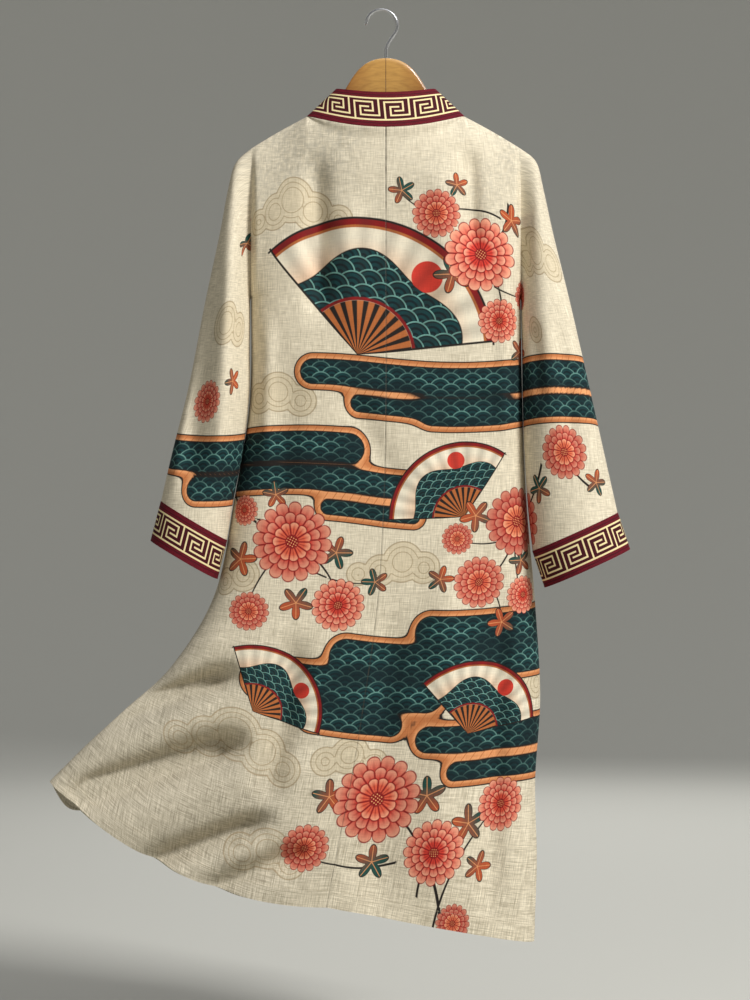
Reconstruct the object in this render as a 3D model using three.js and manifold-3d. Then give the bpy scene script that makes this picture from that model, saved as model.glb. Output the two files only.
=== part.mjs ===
// An ankle-length linen kimono robe on a wooden hanger, with the left of its skirt blown out.
// Millimetres. The origin is the inside top of the hanger's hook, where a rail carries it.
// +X is the wearer's right, +Y the wearer's front and +Z up, so the back of the robe faces -Y.
// The robe is cut as two backs, two fronts, two sleeves, two cuffs and one neckband.
import * as THREE from "three";
import { mergeVertices } from "three/addons/utils/BufferGeometryUtils.js";
import Module from "manifold-3d";

// ---- driving dimensions ----
const CENTRE_X = 6; // the robe's centre line, beside the point that the rail carries
const CLOTH = 1.6; // linen wall
const BAND_CLOTH = 2.6; // doubled cloth of the neckband and the cuffs
const SEAM_GAP = 0.3;

const NECK_HALF = 110; // half width of the neck seam, at the shoulder line
const NECK_DEPTH = 48; // how far back the neck seam reaches
const NECK_Z = -148.5; // height of the neck points
const NECK_DROP = 20; // the centre back of the neck seam lies this far lower
const BAND_WIDTH = 52; // down the fronts
const BAND_RING = { half: 69, depth: 30, z: -110, drop: 8 }; // free edge of the band behind the neck
const BAND_NECK_WIDTH = Math.hypot(NECK_HALF - BAND_RING.half, BAND_RING.z - NECK_Z); // on the shoulder
const BAND_FADE = 5; // the band narrows to its width over the first fifth of the yoke

const ARM_X = 188; // plane of the armhole seams
const ARM_DEPTH = 26; // half depth of the armhole
const UNDERARM_Z = -400;
const SHOULDER_SLOPE = 0.5;
const SHOULDER_CURVE = 0.0009;
const SHOULDER_ROUND = 90; // how broadly the cloth rounds over the hanger's arms
const FALL = 250; // how straight the yoke falls into the ring at the underarm
const NECK_LEAN = 1.2; // angle of the cloth below the neck seam under the horizontal, in radians
const FOLD_FADE = 3; // a fold fades in and out over a third of its length
const YOKE_FADE = 4; // and over the first quarter of the yoke
const ROUND = 2.6; // exponent of a ring's section: 2 is an ellipse, more is squarer
const LOOP_FADE = 12; // how close to the armhole the yoke's section keeps the sleeve's whole loop

const FRONT_EDGE = 60; // from the centre front to the band's seam, below the chest
const FRONT_GAP = 8; // from the centre front to the band's free edge

// A list of records from the names of their fields and one row of numbers each.
const table = (names, rows) =>
  rows.map((row) => Object.fromEntries(names.map((name, i) => [name, row[i]])));

// One row for each ring of the body, from the underarm to the hem: where the left side seam, the centre
// and the right side seam are, half the depth behind and in front, and bow, the sag between mid and left.
const RING_FIELDS = [
  "leftX", "leftY", "leftZ", "midX", "midY", "midZ", "rightX", "rightY", "rightZ", "back", "front", "bow",
];
const RINGS = table(RING_FIELDS, [
  [-188, 0, -400, 0, 0, -400, 188, 0, -400, 46, 40, 0],
  [-184, 2, -545, 0, 0, -550, 190, 4, -550, 52, 44, 0],
  [-207, 2, -680, -3, 0, -690, 197, 6, -690, 56, 48, 0],
  [-238, -6, -815, -12, -2, -830, 209, 8, -830, 60, 50, -2],
  [-296, -26, -914, -30, -8, -960, 216, 8, -960, 60, 50, -10],
  [-362, -52, -976, -48, -14, -1070, 209, 6, -1078, 58, 50, -24],
  [-414, -78, -1024, -66, -20, -1160, 211, 4, -1192, 56, 52, -38],
  [-458, -100, -1069, -82, -26, -1244, 207, 4, -1302, 54, 52, -42],
]);

// The front's hem curls down at the blown corner, and comes back to the side seam over the last part.
const TIP = { share: 0.96, width: 0.07, drop: 24, fromRow: 5.5, close: 40 };

// One row for each ring of a sleeve between the armhole and the cuff's end, the last at the cuff's seam.
// out is the upper edge, in the lower edge; depth is half its thickness; midY leads it backward.
const SLEEVES = {
  right: [
    { outX: 204, outZ: -212, inX: 197, inZ: -406, depth: 31, midY: -1 },
    { outX: 216, outZ: -250, inX: 200, inZ: -428, depth: 36, midY: -3 },
    { outX: 232, outZ: -315, inX: 201, inZ: -475, depth: 40, midY: -6 },
    { outX: 256, outZ: -410, inX: 202, inZ: -535, depth: 43, midY: -10 },
    { outX: 284, outZ: -530, inX: 203, inZ: -615, depth: 46, midY: -14 },
    { outX: 305, outZ: -625, inX: 207, inZ: -695, depth: 48, midY: -17 },
    { outX: 322, outZ: -702, inX: 214, inZ: -755, depth: 49, midY: -20 },
  ],
  left: [
    { outX: 204, outZ: -214, inX: 197, inZ: -406, depth: 31, midY: -1 },
    { outX: 215, outZ: -250, inX: 199, inZ: -428, depth: 36, midY: -3 },
    { outX: 230, outZ: -315, inX: 198, inZ: -475, depth: 40, midY: -6 },
    { outX: 251, outZ: -410, inX: 197, inZ: -535, depth: 43, midY: -10 },
    { outX: 274, outZ: -525, inX: 199, inZ: -612, depth: 46, midY: -14 },
    { outX: 296, outZ: -615, inX: 215, inZ: -680, depth: 47, midY: -20 },
    { outX: 312, outZ: -686, inX: 223, inZ: -740, depth: 48, midY: -24 },
  ],
};
const CUFFS = {
  right: { outX: 339, outZ: -753, inX: 222, inZ: -806, depth: 50, midY: -22 },
  left: { outX: 326, outZ: -741, inX: 235, inZ: -794, depth: 49, midY: -28 },
};

// The largest folds, each along a line from (x1, z1) to (x2, z2): height is outward, width its spread.
const BACK_FOLDS = [
  { x1: -98, z1: -230, x2: -92, z2: -430, width: 15, height: -7 },
  { x1: -142, z1: -225, x2: -142, z2: -440, width: 17, height: 5 },
  { x1: -48, z1: -250, x2: -45, z2: -470, width: 20, height: 4 },
  { x1: 112, z1: -215, x2: 114, z2: -330, width: 14, height: -6 },
  { x1: 74, z1: -230, x2: 80, z2: -430, width: 20, height: 5 },
  { x1: 88, z1: -700, x2: 70, z2: -1310, width: 30, height: 8 },
  { x1: 160, z1: -760, x2: 142, z2: -1310, width: 20, height: -9 },
  { x1: 12, z1: -800, x2: -14, z2: -1300, width: 26, height: -8 },
  { x1: -330, z1: -975, x2: -222, z2: -950, width: 15, height: -9 },
  { x1: -396, z1: -1035, x2: -228, z2: -990, width: 17, height: 9 },
  { x1: -402, z1: -1085, x2: -200, z2: -1030, width: 18, height: -12 },
  { x1: -330, z1: -1125, x2: -160, z2: -1050, width: 20, height: 9 },
  { x1: -300, z1: -1175, x2: -150, z2: -1115, width: 18, height: -8 },
  { x1: -212, z1: -1215, x2: -110, z2: -1020, width: 24, height: 8 },
];
const FRONT_FOLDS = [
  { x1: -120, z1: -240, x2: -118, z2: -520, width: 17, height: -7 },
  { x1: 124, z1: -230, x2: 120, z2: -480, width: 17, height: -7 },
  { x1: 150, z1: -640, x2: 128, z2: -1310, width: 24, height: -10 },
  { x1: -110, z1: -620, x2: -180, z2: -1240, width: 26, height: -9 },
  { x1: -200, z1: -860, x2: -340, z2: -1130, width: 24, height: -10 },
  { x1: -170, z1: -800, x2: -260, z2: -1200, width: 22, height: 8 },
];

// Mesh counts
const NECK_COLUMNS = 6;
const SHOULDER_COLUMNS = 6;
const YOKE_ROWS = 10;
const SKIRT_ROWS = 14;
const SLEEVE_ROWS = 12;
const CUFF_ROWS = 2;

// ---- small maths ----
const lerp = (a, b, t) => a + (b - a) * t;
const clamp = (t) => Math.min(1, Math.max(0, t));
const smooth = (t) => clamp(t) ** 2 * (3 - 2 * clamp(t));
const range = (n) => Array.from({ length: n + 1 }, (_, i) => i / n);

function hermite(start, startSlope, end, endSlope, t) {
  const [t2, t3] = [t * t, t ** 3];
  const bySlopes = (t3 - 2 * t2 + t) * startSlope + (t3 - t2) * endSlope;
  return (2 * t3 - 3 * t2 + 1) * start + (3 * t2 - 2 * t3) * end + bySlopes;
}

// A table's column at a fractional row, on a Catmull-Rom curve through the rows.
function at(rows, key, row) {
  const last = rows.length - 1;
  const k = Math.min(last - 1, Math.floor(row));
  const value = (i) => rows[Math.min(last, Math.max(0, i))][key];
  const slope = (i) => (value(i + 1) - value(i - 1)) / 2;
  return hermite(value(k), slope(k), value(k + 1), slope(k + 1), row - k);
}

// ---- the body's surface ----
// half is -1 behind and +1 in front; side is -1 left and +1 right.

// How far the folds of that half stand out at a point seen from behind. Each fades at its ends.
function foldHeight(half, x, z) {
  const folds = half < 0 ? BACK_FOLDS : FRONT_FOLDS;
  return folds.reduce((sum, f) => {
    const [dx, dz] = [f.x2 - f.x1, f.z2 - f.z1];
    const length = Math.hypot(dx, dz);
    const along = ((x - f.x1) * dx + (z - f.z1) * dz) / length ** 2;
    const off = ((x - f.x1) * dz - (z - f.z1) * dx) / length;
    const fade = smooth(along * FOLD_FADE) * smooth((1 - along) * FOLD_FADE);
    return sum + f.height * Math.exp(-((off / f.width) ** 2)) * fade;
  }, 0);
}

// How deep a ring's section is, from 1 at its centre to 0 at the side seam.
const section = (share) => Math.sqrt(Math.max(0, 1 - share ** ROUND));

// How far the front's hem hangs below its ring at the blown corner.
function curl(share, row) {
  const near = Math.exp(-(((share - TIP.share) / TIP.width) ** 2)) * (1 - share ** TIP.close);
  return TIP.drop * near * smooth((row - TIP.fromRow) / (RINGS.length - 1 - TIP.fromRow));
}

// A point of a ring below the underarm before it is folded: share runs from the centre to the side seam.
function smoothRing(half, side, share, row) {
  const seam = side < 0 ? "left" : "right";
  const x = lerp(at(RINGS, "midX", row), at(RINGS, seam + "X", row), share);
  const sag = side < 0 ? at(RINGS, "bow", row) * 4 * share * (1 - share) : 0;
  const level = lerp(at(RINGS, "midZ", row), at(RINGS, seam + "Z", row), share);
  const z = level + sag - (side < 0 && half > 0 ? curl(share, row) : 0);
  const y = lerp(at(RINGS, "midY", row), at(RINGS, seam + "Y", row), share);
  return new THREE.Vector3(x, y + half * at(RINGS, half < 0 ? "back" : "front", row) * section(share), z);
}

// The same point with its folds, which end at the side seams.
function ringPoint(half, side, share, row) {
  const point = smoothRing(half, side, share, row);
  point.y += half * foldHeight(half, point.x, point.z) * section(share);
  return point;
}

const shoulderZ = (x) =>
  NECK_Z - SHOULDER_SLOPE * (x - NECK_HALF) - SHOULDER_CURVE * (x - NECK_HALF) ** 2;

// A point of the yoke, from its top edge at t = 0 to the ring at the underarm at t = 1.
// Towards the armhole its section turns into half of the sleeve's own loop.
function yokePoint(half, side, topX, ringShare, t) {
  const turn = half < 0 ? clamp(topX / NECK_HALF) : 1; // 0 at the centre back, 1 on the shoulder
  const neck = Math.sqrt(Math.max(0, 1 - turn ** 2));
  const topZ = turn < 1 ? NECK_Z - NECK_DROP * neck ** 2 : shoulderZ(topX);
  const lean = NECK_LEAN * neck;
  const end = smoothRing(half, side, ringShare, 0);
  const x = hermite(side * topX, 0, end.x, 0, t);
  const y = hermite(half * NECK_DEPTH * neck, half * SHOULDER_ROUND * Math.cos(lean), end.y, 0, t);
  const z = hermite(topZ, -SHOULDER_ROUND * Math.sin(lean), end.z, -FALL, t);
  const outward = clamp((topX - NECK_HALF) / (ARM_X - NECK_HALF)); // 1 at the armhole
  const roundness = lerp(1 - t, 1, outward ** LOOP_FADE); // away from the armhole the loop flattens out below
  const loop = half * ARM_DEPTH * 2 * Math.sqrt(t * (1 - t)) * roundness + end.y * smooth(t);
  const sleeve = smooth(outward);
  const point = new THREE.Vector3(x, lerp(y, loop, sleeve), lerp(z, lerp(topZ, end.z, t), sleeve));
  point.y += half * foldHeight(half, x, point.z) * smooth(t * YOKE_FADE) * section(ringShare);
  return point;
}

// Rows share their heights with the sleeve's points round the armhole.
const yokeHeights = range(YOKE_ROWS).map((i) => (1 - Math.cos(Math.PI * i)) / 2);
const skirtRows = range(SKIRT_ROWS).slice(1).map((i) => i * (RINGS.length - 1));
const shoulderShares = range(SHOULDER_COLUMNS).map((i) => Math.sin((Math.PI / 2) * i));
const neckAngles = range(NECK_COLUMNS).map((i) => (Math.PI / 2) * i);

function backGrid(side) {
  const neckShare = NECK_HALF / ARM_X;
  const shares = [
    ...neckAngles.slice(0, -1).map((angle) => neckShare * Math.sin(angle)),
    ...shoulderShares.map((s) => lerp(neckShare, 1, s)),
  ];
  return [
    ...yokeHeights.map((t) => shares.map((s) => yokePoint(-1, side, s * ARM_X, s, t))),
    ...skirtRows.map((row) => shares.map((s) => ringPoint(-1, side, s, row))),
  ];
}

// The share of a ring that lies a given distance from the centre line.
function shareAt(side, distance, row) {
  return distance / Math.abs(at(RINGS, side < 0 ? "leftX" : "rightX", row) - at(RINGS, "midX", row));
}

function frontGrid(side) {
  const shareOf = (s, row) => lerp(shareAt(side, FRONT_EDGE, row), 1, s);
  const topX = (s) => lerp(NECK_HALF, ARM_X, s);
  return [
    ...yokeHeights.map((t) => shoulderShares.map((s) => yokePoint(1, side, topX(s), shareOf(s, 0), t))),
    ...skirtRows.map((row) => shoulderShares.map((s) => ringPoint(1, side, shareOf(s, row), row))),
  ];
}

// ---- sleeves and cuffs ----
const ARMHOLE = {
  outX: ARM_X, outZ: shoulderZ(ARM_X), inX: ARM_X, inZ: UNDERARM_Z, depth: ARM_DEPTH, midY: 0,
};

// angle is 0 on the outer edge and a quarter turn behind.
function tubePoint(side, rings, row, angle) {
  const value = (key) => at(rings, key, row);
  const along = Math.cos(angle);
  const x = lerp(value("inX"), value("outX"), (1 + along) / 2);
  const z = lerp(value("inZ"), value("outZ"), (1 + along) / 2);
  return new THREE.Vector3(side * x, value("midY") - value("depth") * Math.sin(angle), z);
}

const tubeAngles = range(2 * YOKE_ROWS).slice(0, -1).map((i) => 2 * Math.PI * i);

const tubeGrid = (side, rings, rows) =>
  range(rows).map((i) => tubeAngles.map((angle) => tubePoint(side, rings, i * (rings.length - 1), angle)));

const sleeveGrid = (name, side) => tubeGrid(side, [ARMHOLE, ...SLEEVES[name]], SLEEVE_ROWS);
const cuffGrid = (name, side) => tubeGrid(side, [SLEEVES[name].at(-1), CUFFS[name]], CUFF_ROWS);

// ---- the neckband: rows run from the left hem round the neck to the right hem ----
const bandShares = [0, 0.5, 1]; // from the seam to the free edge

function bandBehindNeck(side, angle) {
  const [sin, cos] = [Math.sin(angle), Math.cos(angle)];
  const seam = new THREE.Vector3(side * NECK_HALF * sin, -NECK_DEPTH * cos, NECK_Z - NECK_DROP * cos ** 2);
  const freeZ = BAND_RING.z - BAND_RING.drop * cos ** 2;
  const free = new THREE.Vector3(side * BAND_RING.half * sin, -BAND_RING.depth * cos, freeZ);
  return bandShares.map((s) => seam.clone().lerp(free, s));
}

function bandOnYoke(side, t) {
  const seam = yokePoint(1, side, NECK_HALF, shareAt(side, FRONT_EDGE, 0), t);
  const rise = Math.atan2(BAND_RING.z - NECK_Z, NECK_HALF - BAND_RING.half) * (1 - smooth(t)) * (1 - t);
  const width = lerp(BAND_NECK_WIDTH, BAND_WIDTH, smooth(t * BAND_FADE));
  const across = new THREE.Vector3(-side * Math.cos(rise), 0, Math.sin(rise)).multiplyScalar(width);
  return bandShares.map((s) => seam.clone().addScaledVector(across, s));
}

function bandOnSkirt(side, row) {
  return bandShares.map((s) => ringPoint(1, side, shareAt(side, lerp(FRONT_EDGE, FRONT_GAP, s), row), row));
}

function neckbandGrid() {
  const half = (side) => [
    ...[...skirtRows].reverse().map((row) => bandOnSkirt(side, row)),
    ...[...yokeHeights].reverse().slice(0, -1).map((t) => bandOnYoke(side, t)),
    ...[...neckAngles].reverse().map((angle) => bandBehindNeck(side, angle)),
  ];
  return [...half(-1), ...half(1).reverse().slice(1)];
}

// ---- pieces of cloth: a grid of points with outward normals, sewn edge to edge, then given its wall ----
function normalsOf(points, closed, facing) {
  const [rows, columns] = [points.length, points[0].length];
  const pick = (i, j) => points[Math.min(rows - 1, Math.max(0, i))][
    closed ? (j + columns) % columns : Math.min(columns - 1, Math.max(0, j))];
  return points.map((line, i) => line.map((_, j) => {
    const down = pick(i + 1, j).clone().sub(pick(i - 1, j));
    const across = pick(i, j + 1).clone().sub(pick(i, j - 1));
    return down.cross(across).normalize().multiplyScalar(facing);
  }));
}

// facing is 1 where "down the rows" x "across the columns" points out of the robe, and -1 where it points in.
function cloth(name, points, thickness, facing, closed = false) {
  return { name, points, normals: normalsOf(points, closed, facing), thickness, closed };
}

// Corners that lie on each other in several pieces get one shared normal.
function shareNormals(pieces) {
  const sums = new Map();
  const keyOf = (p) => [p.x, p.y, p.z].map((v) => Math.round(v * 10)).join();
  const corners = pieces.flatMap((piece) => piece.points.flatMap((line, i) =>
    line.map((point, j) => ({ key: keyOf(point), normal: piece.normals[i][j] }))));
  for (const { key, normal } of corners) sums.set(key, (sums.get(key) ?? new THREE.Vector3()).add(normal));
  for (const { key, normal } of corners) normal.copy(sums.get(key)).normalize();
}

// An edge of a piece as a list of its corners, each with its normal and its inner neighbour.
function edge(piece, places, inward) {
  return places.map(([i, j]) => ({
    point: piece.points[i][j],
    normal: piece.normals[i][j],
    inner: piece.points[i + inward[0]][j + inward[1]],
  }));
}

const rowEdge = (piece, i, from, to) =>
  edge(piece, Array.from({ length: to - from + 1 }, (_, k) => [i, from + k]), [i === 0 ? 1 : -1, 0]);
const columnEdge = (piece, j, from, to) =>
  edge(piece, Array.from({ length: to - from + 1 }, (_, k) => [from + k, j]), [0, j === 0 ? 1 : -1]);

// Both sides of a seam draw back from its line by half a seam gap.
function sew(...sides) {
  const line = sides[0].map((corner) => corner.point.clone());
  for (const side of sides)
    side.forEach(({ point, normal, inner }, i) => {
      const along = line[Math.min(i + 1, line.length - 1)].clone().sub(line[Math.max(i - 1, 0)]);
      const back = along.cross(normal).normalize();
      if (back.dot(inner.clone().sub(line[i])) < 0) back.negate();
      point.addScaledVector(back, SEAM_GAP / 2);
    });
}

// The closed solid of a piece: its two faces and the rims between them.
function wall({ points, normals, thickness, closed }) {
  const [rows, columns] = [points.length, points[0].length];
  const position = [];
  for (const side of [1, -1])
    points.forEach((line, i) => line.forEach((p, j) =>
      position.push(...p.clone().addScaledVector(normals[i][j], (side * thickness) / 2).toArray())));
  const layer = rows * columns;
  const id = (face, i, j) => face * layer + i * columns + (j % columns);
  const index = [];
  const quad = (a, b, c, d) => index.push(a, b, c, a, c, d);
  const spans = closed ? columns : columns - 1;
  for (let i = 0; i < rows - 1; i++)
    for (let j = 0; j < spans; j++) {
      quad(id(0, i, j), id(0, i + 1, j), id(0, i + 1, j + 1), id(0, i, j + 1));
      quad(id(1, i, j), id(1, i, j + 1), id(1, i + 1, j + 1), id(1, i + 1, j));
    }
  // A rim's diagonal runs from the lower corner outside to the higher one inside, on both sides of a seam.
  const rim = ([i, j], [k, l]) => {
    const around = [id(0, i, j), id(0, k, l), id(1, k, l), id(1, i, j)];
    if (points[i][j % columns].z > points[k][l % columns].z) around.push(around.shift());
    quad(...around);
  };
  for (let j = 0; j < spans; j++) {
    rim([0, j], [0, j + 1]);
    rim([rows - 1, j + 1], [rows - 1, j]);
  }
  for (let i = 0; i < rows - 1 && !closed; i++) {
    rim([i + 1, 0], [i, 0]);
    rim([i, spans], [i + 1, spans]);
  }
  return new THREE.BufferGeometry()
    .setAttribute("position", new THREE.Float32BufferAttribute(position, 3))
    .setIndex(index);
}

// Six times the signed volume says whether the faces point out; if not, they are turned.
function facingOut(geometry) {
  const [p, index] = [geometry.getAttribute("position"), geometry.index.array];
  const corner = (i) => new THREE.Vector3().fromBufferAttribute(p, index[i]);
  let volume = 0;
  for (let i = 0; i < index.length; i += 3) volume += corner(i).dot(corner(i + 1).cross(corner(i + 2)));
  if (volume < 0)
    for (let i = 0; i < index.length; i += 3) [index[i + 1], index[i + 2]] = [index[i + 2], index[i + 1]];
  return geometry;
}

// ---- materials ----
const linen = new THREE.MeshStandardMaterial({ color: 0xd8ccb0, roughness: 0.9, metalness: 0 });
const maroon = new THREE.MeshStandardMaterial({ color: 0x5e1620, roughness: 0.8, metalness: 0 });
const wood = new THREE.MeshStandardMaterial({ color: 0xc99a5b, roughness: 0.5, metalness: 0 });
const steel = new THREE.MeshStandardMaterial({ color: 0xd8d8d8, roughness: 0.2, metalness: 1 });

function clothMesh(piece, material) {
  const mesh = new THREE.Mesh(facingOut(wall(piece)), material);
  mesh.name = piece.name;
  mesh.position.x = CENTRE_X;
  return mesh;
}

function robe() {
  const sides = { left: -1, right: 1 };
  const piece = {};
  for (const [name, side] of Object.entries(sides)) {
    piece["back_" + name] = cloth("back_" + name, backGrid(side), CLOTH, side);
    piece["front_" + name] = cloth("front_" + name, frontGrid(side), CLOTH, -side);
    piece["sleeve_" + name] = cloth("sleeve_" + name, sleeveGrid(name, side), CLOTH, -side, true);
    piece["cuff_" + name] = cloth("cuff_" + name, cuffGrid(name, side), BAND_CLOTH, -side, true);
  }
  const band = cloth("neckband", neckbandGrid(), BAND_CLOTH, 1);
  shareNormals([...Object.values(piece), band]);
  const lastRow = YOKE_ROWS + SKIRT_ROWS;
  const lastColumn = NECK_COLUMNS + SHOULDER_COLUMNS;
  const bandFront = SKIRT_ROWS + YOKE_ROWS; // rows of the band in front of each neck point
  const bandRows = band.points.length - 1;

  sew(columnEdge(piece.back_left, 0, 0, lastRow), columnEdge(piece.back_right, 0, 0, lastRow));
  for (const name of Object.keys(sides)) {
    const [back, front] = [piece["back_" + name], piece["front_" + name]];
    const [sleeve, cuff] = [piece["sleeve_" + name], piece["cuff_" + name]];
    const ring = tubeAngles.length;
    sew(rowEdge(back, 0, NECK_COLUMNS, lastColumn), rowEdge(front, 0, 0, SHOULDER_COLUMNS));
    const sideSeam = (panel, column) => columnEdge(panel, column, YOKE_ROWS, lastRow);
    sew(sideSeam(back, lastColumn), sideSeam(front, SHOULDER_COLUMNS));
    sew(columnEdge(back, lastColumn, 0, YOKE_ROWS), rowEdge(sleeve, 0, 0, YOKE_ROWS));
    const frontOfRing = [0, ...range(YOKE_ROWS - 1).map((_, k) => ring - 1 - k)];
    const frontOfSleeve = edge(sleeve, frontOfRing.map((j) => [0, j]), [1, 0]);
    sew(columnEdge(front, SHOULDER_COLUMNS, 0, YOKE_ROWS), frontOfSleeve);
    sew(rowEdge(sleeve, SLEEVE_ROWS, 0, ring - 1), rowEdge(cuff, 0, 0, ring - 1));
    const isLeft = name === "left";
    const middle = bandRows / 2;
    const frontSeam = columnEdge(band, 0, isLeft ? 0 : bandRows - bandFront, isLeft ? bandFront : bandRows);
    const neckSeam = columnEdge(band, 0, isLeft ? bandFront : middle, isLeft ? middle : bandRows - bandFront);
    sew(columnEdge(front, 0, 0, lastRow), isLeft ? frontSeam.reverse() : frontSeam);
    sew(rowEdge(back, 0, 0, NECK_COLUMNS), isLeft ? neckSeam.reverse() : neckSeam);
  }
  return [
    ...Object.values(piece).map((p) => clothMesh(p, p.name.startsWith("cuff") ? maroon : linen)),
    clothMesh(band, maroon),
  ];
}

// ---- the hanger: two wooden arms that meet under the hook's stem ----
const WIRE = 4;
const HOOK_RADIUS = 22; // to the middle of the wire
const HOOK_TURN = (-37 * Math.PI) / 180; // where the hook's arc ends and its neck begins
const HOOK_BEND = [[8.4, -45.5], [6, -51.2]]; // [x, z] of the wire as it turns down into the stem
const HOOK_STEPS = { arc: 20, whole: 40, round: 5 };
const STEM_MIDDLE_Z = -66;
const STEM_END_Z = -84;
const WOOD_THICK = 12;
const WOOD_TOP_Z = -66;
const WOOD_TIP_X = 180;
const WOOD_DROP = 22; // height of an arm at its tip
const WOOD_CENTRE_DROP = 56; // height of the arms where they meet
const BEVEL = 5; // rounding of the arms' edges
const BEVEL_STEPS = 3;
const OUTLINE_STEPS = 6; // along each curve of an arm's outline
const WELD = 1e-3; // corners of a swept solid this close are one
const WOOD_CLEARANCE = 4.3; // from the middle of the cloth on the shoulder to the top of the arm
const HOLE_LENGTH = 60; // of the tool that drills the stem's hole
const HOLE_SIDES = 16;

// Bezier handles of an arm's outline, inside its bevel, as [x, z]: over its head, down into the hollow
// beside it and back along its underside. rise lifts a handle above the shoulder's line.
const WOOD_HEAD = [[30, -72], [42, -88], [56, -117]];
const WOOD_HOLLOW = { first: [64, -131], x: 86, rise: 16 };
const WOOD_SHOULDER = [130, 150, 165];
const WOOD_UNDERSIDE = [[150, -190], [80, -152]];

// The outline of the right arm, drawn inside the edge by the bevel.
function armOutline() {
  const below = (x) => shoulderZ(x) - WOOD_CLEARANCE - BEVEL;
  const joint = BEVEL + SEAM_GAP / 2;
  const tip = WOOD_TIP_X - BEVEL;
  const outline = new THREE.Shape();
  outline.moveTo(joint, WOOD_TOP_Z - BEVEL);
  outline.bezierCurveTo(...WOOD_HEAD.flat());
  outline.bezierCurveTo(
    ...WOOD_HOLLOW.first, WOOD_HOLLOW.x, below(NECK_HALF) + WOOD_HOLLOW.rise, NECK_HALF, below(NECK_HALF));
  for (const x of [...WOOD_SHOULDER, tip]) outline.lineTo(x, below(x));
  outline.lineTo(tip, below(WOOD_TIP_X) - WOOD_DROP + 2 * BEVEL);
  outline.bezierCurveTo(...WOOD_UNDERSIDE.flat(), joint, WOOD_TOP_Z - WOOD_CENTRE_DROP + BEVEL);
  return outline;
}

async function hangerArms() {
  const wasm = await Module();
  wasm.setup();
  const solidOf = (geometry) => {
    const bare = geometry.index ? geometry.toNonIndexed() : geometry.clone();
    bare.deleteAttribute("normal");
    bare.deleteAttribute("uv");
    const merged = mergeVertices(bare, WELD);
    const triVerts = new Uint32Array(merged.index.array);
    return new wasm.Manifold(new wasm.Mesh({
      numProp: 3, vertProperties: merged.attributes.position.array, triVerts,
    }));
  };
  const holeRadius = WIRE / 2 + SEAM_GAP;
  const stemHole = new THREE.CylinderGeometry(holeRadius, holeRadius, HOLE_LENGTH, HOLE_SIDES)
    .rotateX(Math.PI / 2)
    .translate(0, 0, STEM_END_Z - SEAM_GAP + HOLE_LENGTH / 2);
  return [-1, 1].map((side) => {
    const arm = new THREE.ExtrudeGeometry(armOutline(), {
      depth: WOOD_THICK - 2 * BEVEL,
      curveSegments: OUTLINE_STEPS,
      bevelThickness: BEVEL,
      bevelSize: BEVEL,
      bevelSegments: BEVEL_STEPS,
    });
    arm.rotateX(Math.PI / 2).translate(0, WOOD_THICK / 2 - BEVEL, 0);
    let solid = solidOf(arm);
    if (side < 0) solid = solid.mirror([1, 0, 0]);
    const mesh = solid.subtract(solidOf(stemHole)).getMesh();
    const geometry = new THREE.BufferGeometry()
      .setAttribute("position", new THREE.BufferAttribute(new Float32Array(mesh.vertProperties), 3))
      .setIndex(new THREE.BufferAttribute(new Uint32Array(mesh.triVerts), 1));
    const result = new THREE.Mesh(geometry, wood);
    result.name = side < 0 ? "hanger_arm_left" : "hanger_arm_right";
    result.position.x = CENTRE_X;
    return result;
  });
}

function hook() {
  const centreZ = WIRE / 2 - HOOK_RADIUS;
  const arc = range(HOOK_STEPS.arc).map((i) => {
    const angle = lerp(Math.PI, HOOK_TURN, i);
    return new THREE.Vector3(HOOK_RADIUS * Math.cos(angle), 0, centreZ + HOOK_RADIUS * Math.sin(angle));
  });
  const stem = [STEM_MIDDLE_Z, STEM_END_Z].map((z) => new THREE.Vector3(CENTRE_X, 0, z));
  const neck = [...HOOK_BEND.map(([x, z]) => new THREE.Vector3(x, 0, z)), ...stem];
  const geometry = new THREE.ExtrudeGeometry(new THREE.Shape().absarc(0, 0, WIRE / 2, 0, 2 * Math.PI), {
    steps: HOOK_STEPS.whole,
    curveSegments: HOOK_STEPS.round,
    extrudePath: new THREE.CatmullRomCurve3([...arc, ...neck], false, "centripetal"),
  });
  const mesh = new THREE.Mesh(geometry, steel);
  mesh.name = "hook";
  return mesh;
}

const kimono = new THREE.Group();
kimono.add(...robe(), ...(await hangerArms()), hook());
export default kimono;
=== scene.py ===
"""An ankle-length linen kimono robe on a wooden hanger, with the left of its skirt blown out."""

import bpy
import numpy as np
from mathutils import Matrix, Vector


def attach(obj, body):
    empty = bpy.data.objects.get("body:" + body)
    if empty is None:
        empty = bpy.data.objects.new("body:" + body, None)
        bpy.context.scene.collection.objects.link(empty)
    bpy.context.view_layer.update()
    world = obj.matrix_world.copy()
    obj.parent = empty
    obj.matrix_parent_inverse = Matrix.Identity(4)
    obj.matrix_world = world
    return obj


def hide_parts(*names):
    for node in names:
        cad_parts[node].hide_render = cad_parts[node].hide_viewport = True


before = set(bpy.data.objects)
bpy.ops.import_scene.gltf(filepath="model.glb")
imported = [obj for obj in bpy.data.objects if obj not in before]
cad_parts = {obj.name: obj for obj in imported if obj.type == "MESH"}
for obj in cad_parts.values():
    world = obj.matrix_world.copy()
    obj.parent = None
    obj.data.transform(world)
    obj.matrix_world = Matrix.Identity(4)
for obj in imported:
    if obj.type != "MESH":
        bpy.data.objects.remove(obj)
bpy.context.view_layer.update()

# ---------------------------------------------------------------- the hook
# A bright steel wire 4 mm thick, bent to an open loop and a short neck. Its straight stem is
# driven into the wood where the two arms meet.
MM = 0.001
CENTRE_X = 6.0  # the robe's centre line, beside the point that the rail carries
WIRE = 4.0
HOOK_RADIUS = 22.0  # to the middle of the wire
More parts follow.
